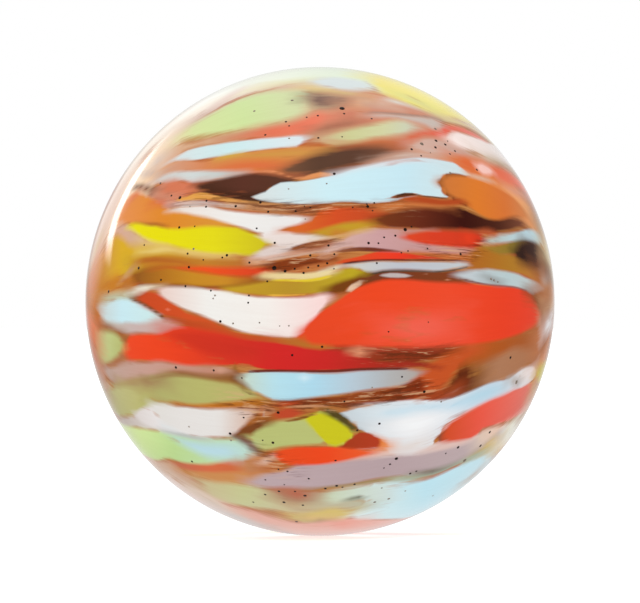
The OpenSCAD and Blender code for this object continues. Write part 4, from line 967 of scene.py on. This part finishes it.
# Bands in which the chips rubbed together into fine brown and cream threads, as a softness and
# stations. Those of the back are laid by chance.
BACK_BANDS, BAND_HALF, BAND_TIP = 7, 18, 0.4               # number, and degrees along and across
BAND_FROM, BAND_TO = (-48, 98, 0.6), (48, 262, 1.8)        # along, turn, half width
THREAD_BANDS = [
    (.3, [[-36, 32, 30.6], [-30, 31.4, 29], [-24, 29, 26.6], [-18, 26.2, 24], [-12, 25, 22.2],
          [-6, 24.2, 21.4], [0, 23.8, 21.4], [6, 24.4, 22.6], [13, 25, 23.2], [20, 26.4, 25]]),
    (.2, [[-8, 12.9, 12.1], [-4, 14.2, 12.7], [0, 15, 13.5], [5, 15.6, 14.4]]),
    (.2, [[-15, 9.4, 8.4], [-11, 9.9, 7.6], [-6, 10.7, 7.8], [-1, 11.6, 9.4], [4, 12.2, 11]]),
    (.25, [[-24, -24.6, -27.6], [-18, -23.4, -30], [-14, -24.6, -32], [-11, -24.8, -27.4],
           [-8, -24.8, -26.4], [-4, -24.2, -27.4], [2, -23.4, -26.8], [8, -22.6, -26.4],
           [14, -22.2, -26], [20, -21.4, -26.2], [25, -20.4, -26.4], [30, -24.2, -27.2]]),
    (.25, [[11, -12.6, -13.6], [16, -12, -15.6], [24, -12.2, -15.6], [32, -13.4, -15.4]]),
    (.2, [[26, 15, 12], [34, 16, 12.8], [40, 18, 13], [43, 22, 17], [46, 23, 19.4]]),
    (.3, [[-14, -38.6, -44], [-11, -39.6, -46.6], [-7, -43, -46.4]])]
for centre, middle, wide in roll.uniform(BAND_FROM, BAND_TO, (BACK_BANDS, 3)):
    THREAD_BANDS.append((.25, [
        [centre - BAND_HALF, middle + BAND_TIP, middle - BAND_TIP],
        [centre, middle + wide, middle - wide],
        [centre + BAND_HALF, middle + BAND_TIP, middle - BAND_TIP]]))
threaded = np.full(count, -FAR, float)
for soft, stations in THREAD_BANDS:
    band = Streak(soft, [(0, 0, 0)], stations)
    threaded = np.maximum(threaded, band.level(TURN).ravel())
keep_on_points("threaded", "FLOAT", threaded[:, None])
keep_on_points("drawn", "FLOAT_VECTOR",
               np.stack([R * ALONG, R * np.cos(lane), R * np.sin(lane)], 1))


class Value:
    """A socket of a node tree, with the arithmetic that the glass needs."""

    def __init__(self, tree, socket):
        self.tree, self.socket = tree, socket

    def math(self, operation, *others):
        return self.tree.node("ShaderNodeMath", {"operation": operation}, self, *others)

    def __add__(self, other):
        return self.math("ADD", other)

    def __sub__(self, other):
        return self.math("SUBTRACT", other)

    def __rsub__(self, other):
        return self.tree.node("ShaderNodeMath", {"operation": "SUBTRACT"}, other, self)

    def __mul__(self, other):
        return self.math("MULTIPLY", other)

    __radd__, __rmul__ = __add__, __mul__


class Recipe:
    """How a glass, a light or a row of specks is made: its nodes, and the one way to add one."""

    def __init__(self, owner):
        self.owner = bpy.data.materials.new(owner) if isinstance(owner, str) else owner
        if hasattr(self.owner, "use_nodes"):
            self.owner.use_nodes = True
        tree = getattr(self.owner, "node_tree", self.owner)
        self.nodes, self.links = tree.nodes, tree.links
        self.nodes.clear()

    def node(self, kind, settings=None, *values, out=0, **named):
        n = self.nodes.new(kind)
        for key, value in (settings or {}).items():
            setattr(n, key, value)
        for key, value in list(enumerate(values)) + list(named.items()):
            socket = n.inputs[key.replace("_", " ") if isinstance(key, str) else key]
            if isinstance(value, Value):
                self.links.new(value.socket, socket)
            elif value is not None:
                socket.default_value = value
        return Value(self, n.outputs[out]) if n.outputs else None

    def attribute(self, name, out):
        return self.node("ShaderNodeAttribute", {"attribute_name": name}, out=out)

    def noise(self, where, stretch, scale, detail, rough=0.5):
        at = self.node("ShaderNodeVectorMath", {"operation": "MULTIPLY"}, where, stretch)
        return self.node("ShaderNodeTexNoise", None, Vector=at, Scale=scale, Detail=detail,
                         Roughness=rough)

    def step(self, value, low, high, to_low=0.0, to_high=1.0):
        return self.node("ShaderNodeMapRange", {"interpolation_type": "SMOOTHSTEP"},
                         value, low, high, to_low, to_high)

    def mix(self, share, a, b, blend="MIX"):
        return self.node("ShaderNodeMix", {"data_type": "RGBA", "blend_type": blend},
                         share, *[None] * 5, a, b, out=2)

    def surface(self, shader):
        kind = "Material" if isinstance(self.owner, bpy.types.Material) else "World"
        self.node("ShaderNodeOutput" + kind, None, Surface=shader)
        return self.owner


def colour(r, g, b):
    return (*linear((r, g, b)), 1.0)


# The glass of the ball, amber between its chips, with a clear gloss and a slight ripple. "drawn"
# holds the place of each point in mm before the glass was drawn out, so noise that is stretched
# along it runs with the streaks as threads do.
AMBER, HONEY, RUST = colour(172, 102, 50), colour(205, 142, 78), colour(186, 96, 52)
DARK_HAIR, PALE_HAIR = colour(120, 62, 34), colour(228, 178, 122)
BROWN_THREAD, CREAM_THREAD = colour(96, 46, 24), colour(222, 176, 132)
THREAD_SHADE = (0.86, 0.8, 0.78, 1.0)

glass = Recipe("streaked_glass")
drawn = glass.attribute("drawn", 1)
wander = glass.noise(drawn, (0.3, 1.0, 1.0), scale=1.1, detail=3)
fray = glass.noise(drawn, (0.14, 1.0, 1.0), scale=5.0, detail=3)
threads = glass.noise(drawn, (0.05, 1.0, 1.0), scale=6.5, detail=4, rough=0.6)
hairs = glass.noise(drawn, (0.08, 1.0, 1.0), scale=14.0, detail=2)
cloud = glass.noise(drawn, (0.35, 1.0, 1.0), scale=0.5, detail=2)
strands = glass.noise(drawn, (0.08, 1.0, 1.0), scale=8.0, detail=3, rough=0.62)
edge = (wander - 0.5) * 0.9 + (fray - 0.5) * 0.8

ground = glass.mix(glass.step(threads, 0.35, 0.7), AMBER, HONEY)
ground = glass.mix(glass.step(cloud, 0.4, 0.7), ground, RUST)
ground = glass.mix(glass.step(hairs, 0.62, 0.75) * 0.5, ground, DARK_HAIR)
ground = glass.mix(glass.step(hairs, 0.36, 0.25) * 0.4, ground, PALE_HAIR)

chips, cover = (0, 0, 0), 0.0
for k in range(len(layers)):
    share = glass.step(glass.attribute(f"layer_{k}", 3) + edge, -0.9, 0.9)
    chips = glass.node("ShaderNodeVectorMath", {"operation": "MULTIPLY_ADD"},
                       glass.attribute(f"layer_{k}", 0), share, chips)
    cover = share + cover
bare = (1 - cover * 1.2).math("MAXIMUM", 0.0)
skin = glass.node("ShaderNodeVectorMath", {"operation": "MULTIPLY_ADD"}, ground, bare, chips)
skin = glass.node("ShaderNodeVectorMath", {"operation": "DIVIDE"}, skin, cover + bare)
skin = glass.mix(glass.step(threads, 0.3, 0.75) * 0.16, skin, THREAD_SHADE, "MULTIPLY")
rubbed = glass.step(glass.attribute("threaded", 2) + edge, -1.0, 1.0)
skin = glass.mix(glass.step(strands, 0.52, 0.6) * rubbed * 0.75, skin, BROWN_THREAD)
skin = glass.mix(glass.step(strands, 0.44, 0.36) * rubbed * 0.6, skin, CREAM_THREAD)
ripple = glass.noise(glass.node("ShaderNodeTexCoord", out=3), (1, 1, 1), scale=420.0, detail=2)
dent = glass.node("ShaderNodeBump", Strength=0.05, Distance=0.0002, Height=ripple)
ball_mesh.materials.append(glass.surface(glass.node(
    "ShaderNodeBsdfPrincipled", Base_Color=skin, Roughness=0.06, IOR=1.5, Normal=dent)))
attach(ball, "root")
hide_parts("marble")

# Pits and seeds: pits and burst bubbles that stayed in the skin when the glass cooled.
# Each is a small flat dome set in the surface, dark as painted shade in the hollow of a pit and
# grey for a bubble. Numbers are
# [along, turn, width] in degrees.
PITS = [
    [5.3, 54.3, 1.6], [5.8, 52.2, .7], [-8.2, 49.4, .7], [-7.4, 47.7, .6], [-13.2, 45.6, .7],
    [-3.2, 50.5, .6], [-0.5, 51, .7], [-0.4, 43, .7], [12.5, 51.6, .6], [29.1, 50.5, 1],
    [31.7, 50.7, .9], [32.4, 52.9, .5], [28.9, 47.5, .9], [22.5, 43.5, .8], [25, 42.2, .6],
    [27.5, 44.5, .4], [33, 47.5, .6], [34.5, 50, .7], [5.3, 43.6, .5], [41.2, 47.3, .8],
    [-42, 41.8, .7], [-38.4, 34.4, .7], [-35.8, 32.3, 1.1], [-28.2, 28.4, .7], [-28.3, 26.6, .7],
    [-20.5, 25, .8], [-14.3, 25.1, .8], [-12.4, 22.4, .7], [-5.8, 22.1, .7], [-3.7, 23.3, .4],
    [-2.3, 22.9, .5], [-15.2, 18.3, .6], [-35.9, 22.4, .8], [-31.4, 21.5, .5], [-10.8, 14.3, .7],
    [-33.4, 13.8, .7], [-29, 11.4, .5], [-22.7, 12, .8], [-23.9, 11.5, .6], [-17, 9.7, .7],
    [-33, 9.8, .8], [-2.3, 11, .7], [-10.9, 8.1, 1.3], [-8.3, 7.3, .9], [-6, 7.8, .6],
    [-2.8, 8.1, .6], [-0.4, 8.5, .7], [-3.9, 6.8, .7], [-12.6, 4.9, .6], [-34, 4.4, .7],
    [-26.9, 2.9, .6], [-17.1, 1.5, .6], [3.4, 32.1, .9], [13, 24.8, .6], [11.4, 23.7, .9],
    [11.2, 24.3, .5], [7.8, 23.2, .5], [12.6, 22.7, .5], [20.7, 18.6, 1.1], [18.2, 16.7, .7],
    [22.3, 19.6, .6], [15.4, 16, .6], [11.6, 14.3, .8], [14, 14.4, .6], [2, 13.4, .7],
    [3.4, 11.3, .6], [26.5, 14.2, .6], [21.4, 13, .5], [19.7, 12.4, .5], [1.7, 9.1, .7],
    [13.6, 9.4, .6], [35.8, 14.1, .8], [-47.3, 20.4, .6], [-49.3, 12.4, .9], [-41.5, 6.9, .7],
    [-62.7, 5.3, .9], [-17.3, -.3, .6], [-24.4, -5.2, .8], [-6.6, -12.9, .7], [-26.2, -18.6, .7],
    [-36.9, -20.1, .8], [-18.9, -19.6, .5], [-10, -27.9, .9], [-22, -36.4, .9], [-13.8, -36.5, .5],
    [-11.3, -36.8, .9], [-18.5, -30.6, .6], [0.5, -10.8, .7], [16.5, -7.5, .5], [26.7, -5.5, .4],
    [19.9, -19.4, .6], [5.8, -24.6, .6], [25.7, -24.6, .9], [14.3, -31.6, .8], [8.9, -32.8, .7],
    [53, -23, .9], [-32.5, -52.8, .8], [-7.8, -45.7, .7], [-10, -45.3, .6], [-2.7, -47.8, .7],
    [-13.2, -50, .6], [-8.6, -50.8, .5], [-6, -53.1, .7], [-3.6, -54.6, 1], [-9.9, -53.8, .8],
    [-13.3, -56.3, .8], [-8.7, -58.5, 1], [-4.1, -59, .8], [-16.3, -61.5, .7], [-5.7, -69, .9],
    [3.7, -41.6, .7], [1.3, -51.5, .8], [4, -50.6, .9], [5.4, -51.3, .6], [8.3, -50.6, .7],
    [18.6, -43.8, 1.1], [17, -45.3, .7], [15.5, -46.2, .5], [22.2, -51.1, .8], [23.8, -51, .7],
    [31.8, -48.5, .6], [35.4, -48.6, 1], [45.6, -51.8, 1], [42.5, -55.5, 1]]
SEEDS = [
    [-7.4, 43.3, .6], [-6.7, 58.2, .9], [-16, 56.2, .8], [25.2, 46.8, 1.2], [29, 56, .9],
    [33, 39.8, .9], [-32.8, 28.1, .5], [-7.5, 28.1, .5], [-3.5, 20, .4], [-31.7, 14.9, .7],
    [-25.8, 1.6, .6], [-26.3, .8, .5], [1.6, 29.3, .5], [3.3, 7.8, .5], [45.6, 7.7, .8],
    [46.6, 7.4, .7], [48, 7, .6], [-21.1, -5.6, .6], [-14.5, -5.2, .5], [-9.6, -5.9, .4],
    [-7.4, -5.8, .5], [-21.8, -38.6, .6], [-33.2, -38.7, .6], [12.5, -21.4, .5],
    [30.3, -28.9, .6], [55.7, -37, 1.3], [15, -54, .6], [16.8, -60, .9], [13.3, -60, .9],
    [21, -58.5, .6], [28.5, -69, .6], [37.5, -57.5, 1.4]]

SPECK_SIZE = 0.82                         # share of the width above that a dome has
BACK_PITS, BACK_SEEDS = (150, 0.4, 1.0), (60, 0.4, 0.9)        # number, and widths in degrees
SPECKS_ALONG, SPECKS_ROUND = (-66, 66), (92, 268)
rng = np.random.default_rng(7)
for spots, (number, *widths) in ((PITS, BACK_PITS), (SEEDS, BACK_SEEDS)):
    for n in range(number):
        spots.append([rng.uniform(*SPECKS_ALONG), rng.uniform(*SPECKS_ROUND),
                      rng.uniform(*widths)])


def specks(name, spots, flat, finish):
    """Domes on the ball: a node tree sets one at each point, turned to face outwards."""
    place, turned, wide = np.array(spots, float).T
    place, turned = np.radians(place), np.radians(turned)
    out = np.stack([np.sin(place), -np.cos(place) * np.cos(turned),
                    np.cos(place) * np.sin(turned)], 1)
    mesh = bpy.data.meshes.new(name)
    mesh.from_pydata((out * (R / 1000)).tolist(), [], [])
    half_width = wide * SPECK_SIZE * MM_PER_DEGREE / 2000          # metres
    mesh.attributes.new("width", "FLOAT", "POINT").data.foreach_set(
        "value", half_width.astype(np.float32))
    obj = bpy.data.objects.new(name, mesh)
    bpy.context.collection.objects.link(obj)

    tree = bpy.data.node_groups.new(name, "GeometryNodeTree")
    tree.interface.new_socket("Geometry", in_out="INPUT", socket_type="NodeSocketGeometry")
    flatness = tree.interface.new_socket("Flatness", in_out="INPUT", socket_type="NodeSocketFloat")
    tree.interface.new_socket("Geometry", in_out="OUTPUT", socket_type="NodeSocketGeometry")
    row = Recipe(tree)
    width = row.node("GeometryNodeInputNamedAttribute", {"data_type": "FLOAT"}, Name="width")
    low = width * row.node("NodeGroupInput", out=1)
    facing = row.node("FunctionNodeAlignRotationToVector", {"axis": "Z"},
                      Vector=row.node("GeometryNodeInputPosition"))
    dome = row.node("GeometryNodeMeshIcoSphere", Radius=1.0, Subdivisions=2)
    domes = row.node("GeometryNodeInstanceOnPoints", Points=row.node("NodeGroupInput"),
                     Instance=row.node("GeometryNodeSetShadeSmooth", Geometry=dome),
                     Rotation=facing,
                     Scale=row.node("ShaderNodeCombineXYZ", None, width, width, low))
    domes = row.node("GeometryNodeRealizeInstances", Geometry=domes)
    row.node("NodeGroupOutput", None,
             row.node("GeometryNodeSetMaterial", Geometry=domes, Material=finish))
    modifier = obj.modifiers.new("specks", "NODES")
    modifier.node_group = tree
    modifier[flatness.identifier] = flat
    made = bpy.data.meshes.new_from_object(obj.evaluated_get(
        bpy.context.evaluated_depsgraph_get()))
    obj.modifiers.remove(modifier)
    obj.data = made
    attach(obj, "root")


def mottled(name, dark, pale, roughness):
    """What a speck is made of: two shades of one colour, mixed finely."""
    speck = Recipe(name)
    fine = speck.noise(speck.node("ShaderNodeTexCoord", out=3), (1, 1, 1), scale=9000.0, detail=2)
    shade = speck.mix(speck.step(fine, 0.4, 0.7), dark, pale)
    return speck.surface(speck.node("ShaderNodeBsdfPrincipled", Base_Color=shade,
                                    Roughness=roughness))


# The pits are dark domes: painted shade standing for the hollow of each pit.
specks("soot_pits", PITS, 0.14, mottled("soot_pits", colour(26, 16, 12), colour(62, 36, 24), 0.35))
specks("burst_bubbles", SEEDS, 0.1,
       mottled("burst_bubbles", colour(120, 104, 90), colour(160, 144, 128), 0.3))

# The pale table that the ball stands on, a sheet of plain matt paper. It lights the ball from
# below as the tent does from above, and the gloss of the ball doesn't mirror it.
WHITE, PAPER = (1.0, 1.0, 1.0, 1.0), (0.9, 0.9, 0.9, 1.0)
TABLE_HALF, TABLE_GAP = 3.0, 0.00002                # metres
table_z = -R / 1000 - TABLE_GAP
table_mesh = bpy.data.meshes.new("floor")
table_mesh.from_pydata([(x * TABLE_HALF, y * TABLE_HALF, table_z)
                        for x, y in ((-1, -1), (1, -1), (1, 1), (-1, 1))], [], [(0, 1, 2, 3)])
table = bpy.data.objects.new("floor", table_mesh)
bpy.context.collection.objects.link(table)
paper = Recipe("white_table")
seen = paper.node("ShaderNodeAddShader", None, paper.node("ShaderNodeBsdfDiffuse", Color=PAPER),
                  paper.node("ShaderNodeEmission", Color=WHITE, Strength=0.5))
unseen = paper.node("ShaderNodeEmission", Color=WHITE, Strength=1.0)
is_camera, is_gloss = (paper.node("ShaderNodeLightPath", out=k) for k in (0, 3))
sheet = paper.node("ShaderNodeMixShader", None, is_camera, unseen, seen)
sheet = paper.node("ShaderNodeMixShader", None, is_gloss, sheet,
                   paper.node("ShaderNodeBsdfTransparent"))
table_mesh.materials.append(paper.surface(sheet))

# The white tent round the ball and the lamp over it. The tent shows white and gives even light.
# In the gloss it is brighter behind the ball, with one panel and the bright window at the left.
TENT_LIGHT = 0.97
PANEL_AT, PANEL_GLOW = (-0.45, 0.85, 0.28), 0.7
WINDOW_ACROSS, WINDOW_SHIFT, WINDOW_UP, WINDOW_GLOW = (0.786, 0.618, -1.0), 0.28, 0.28, 4.5
LAMP_AT, LAMP_SIZE, LAMP_WATTS = (-0.2, -0.35, 0.75), 0.7, 1.2      # metres, watts

world = bpy.data.worlds.new("white_tent")
bpy.context.scene.world = world
tent = Recipe(world)
way = tent.node("ShaderNodeTexCoord")


def towards(*direction):
    """How far a ray points in a direction."""
    return tent.node("ShaderNodeVectorMath", {"operation": "DOT_PRODUCT"}, way, direction, out=1)


to_back, aside, up = towards(0, 1, 0), towards(1, 0, 0), towards(0, 0, 1)
mirrored = (tent.step(to_back, -0.1, 1.0, 0.03, 0.75)
            * tent.step(aside.math("ABSOLUTE"), 0.1, 0.5, 1.0, 0.25))
panel = tent.step(towards(*PANEL_AT), 0.94, 0.985)
across_window = towards(*WINDOW_ACROSS) + WINDOW_SHIFT
along_window = (up - WINDOW_UP).math("ABSOLUTE")
window = (tent.step(across_window, -0.1, -0.05) * tent.step(across_window, 0.12, 0.04)
          * tent.step(along_window, 0.17, 0.06) * tent.step(to_back, 0.3, 0.5))
mirrored = mirrored + panel * PANEL_GLOW + window * WINDOW_GLOW
light, shown, in_gloss = (tent.node("ShaderNodeBackground", None, WHITE, strength)
                          for strength in (TENT_LIGHT, 1.0, mirrored))
light = tent.node("ShaderNodeMixShader", None, tent.node("ShaderNodeLightPath", out=3),
                  light, in_gloss)
tent.surface(tent.node("ShaderNodeMixShader", None, tent.node("ShaderNodeLightPath"), light,
                       shown))

lamp_data = bpy.data.lights.new("overhead", "AREA")
lamp_data.shape, lamp_data.size, lamp_data.energy = "SQUARE", LAMP_SIZE, LAMP_WATTS
lamp = bpy.data.objects.new("overhead", lamp_data)
bpy.context.collection.objects.link(lamp)
lamp.location = LAMP_AT
lamp.rotation_euler = (math.acos(LAMP_AT[2] / math.dist(LAMP_AT, (0, 0, 0))), 0,
                       math.atan2(LAMP_AT[0], -LAMP_AT[1]))
lamp.visible_glossy = False

# The camera looks along +Y at the ball's middle, level with it, through a long lens. It stands
# 0.4 m away, so it sees the ball as the photograph does.
CAMERA_AWAY, LENS, SENSOR = 0.4, 422, 36            # metres, mm, mm
camera_data = bpy.data.cameras.new("camera")
camera_data.lens, camera_data.sensor_width, camera_data.clip_start = LENS, SENSOR, 0.01
camera = bpy.data.objects.new("camera", camera_data)
bpy.context.collection.objects.link(camera)
camera.location = (0, -CAMERA_AWAY, 0)
camera.rotation_euler = (math.pi / 2, 0, 0)
bpy.context.scene.camera = camera
bpy.context.scene.view_settings.view_transform = "Standard"
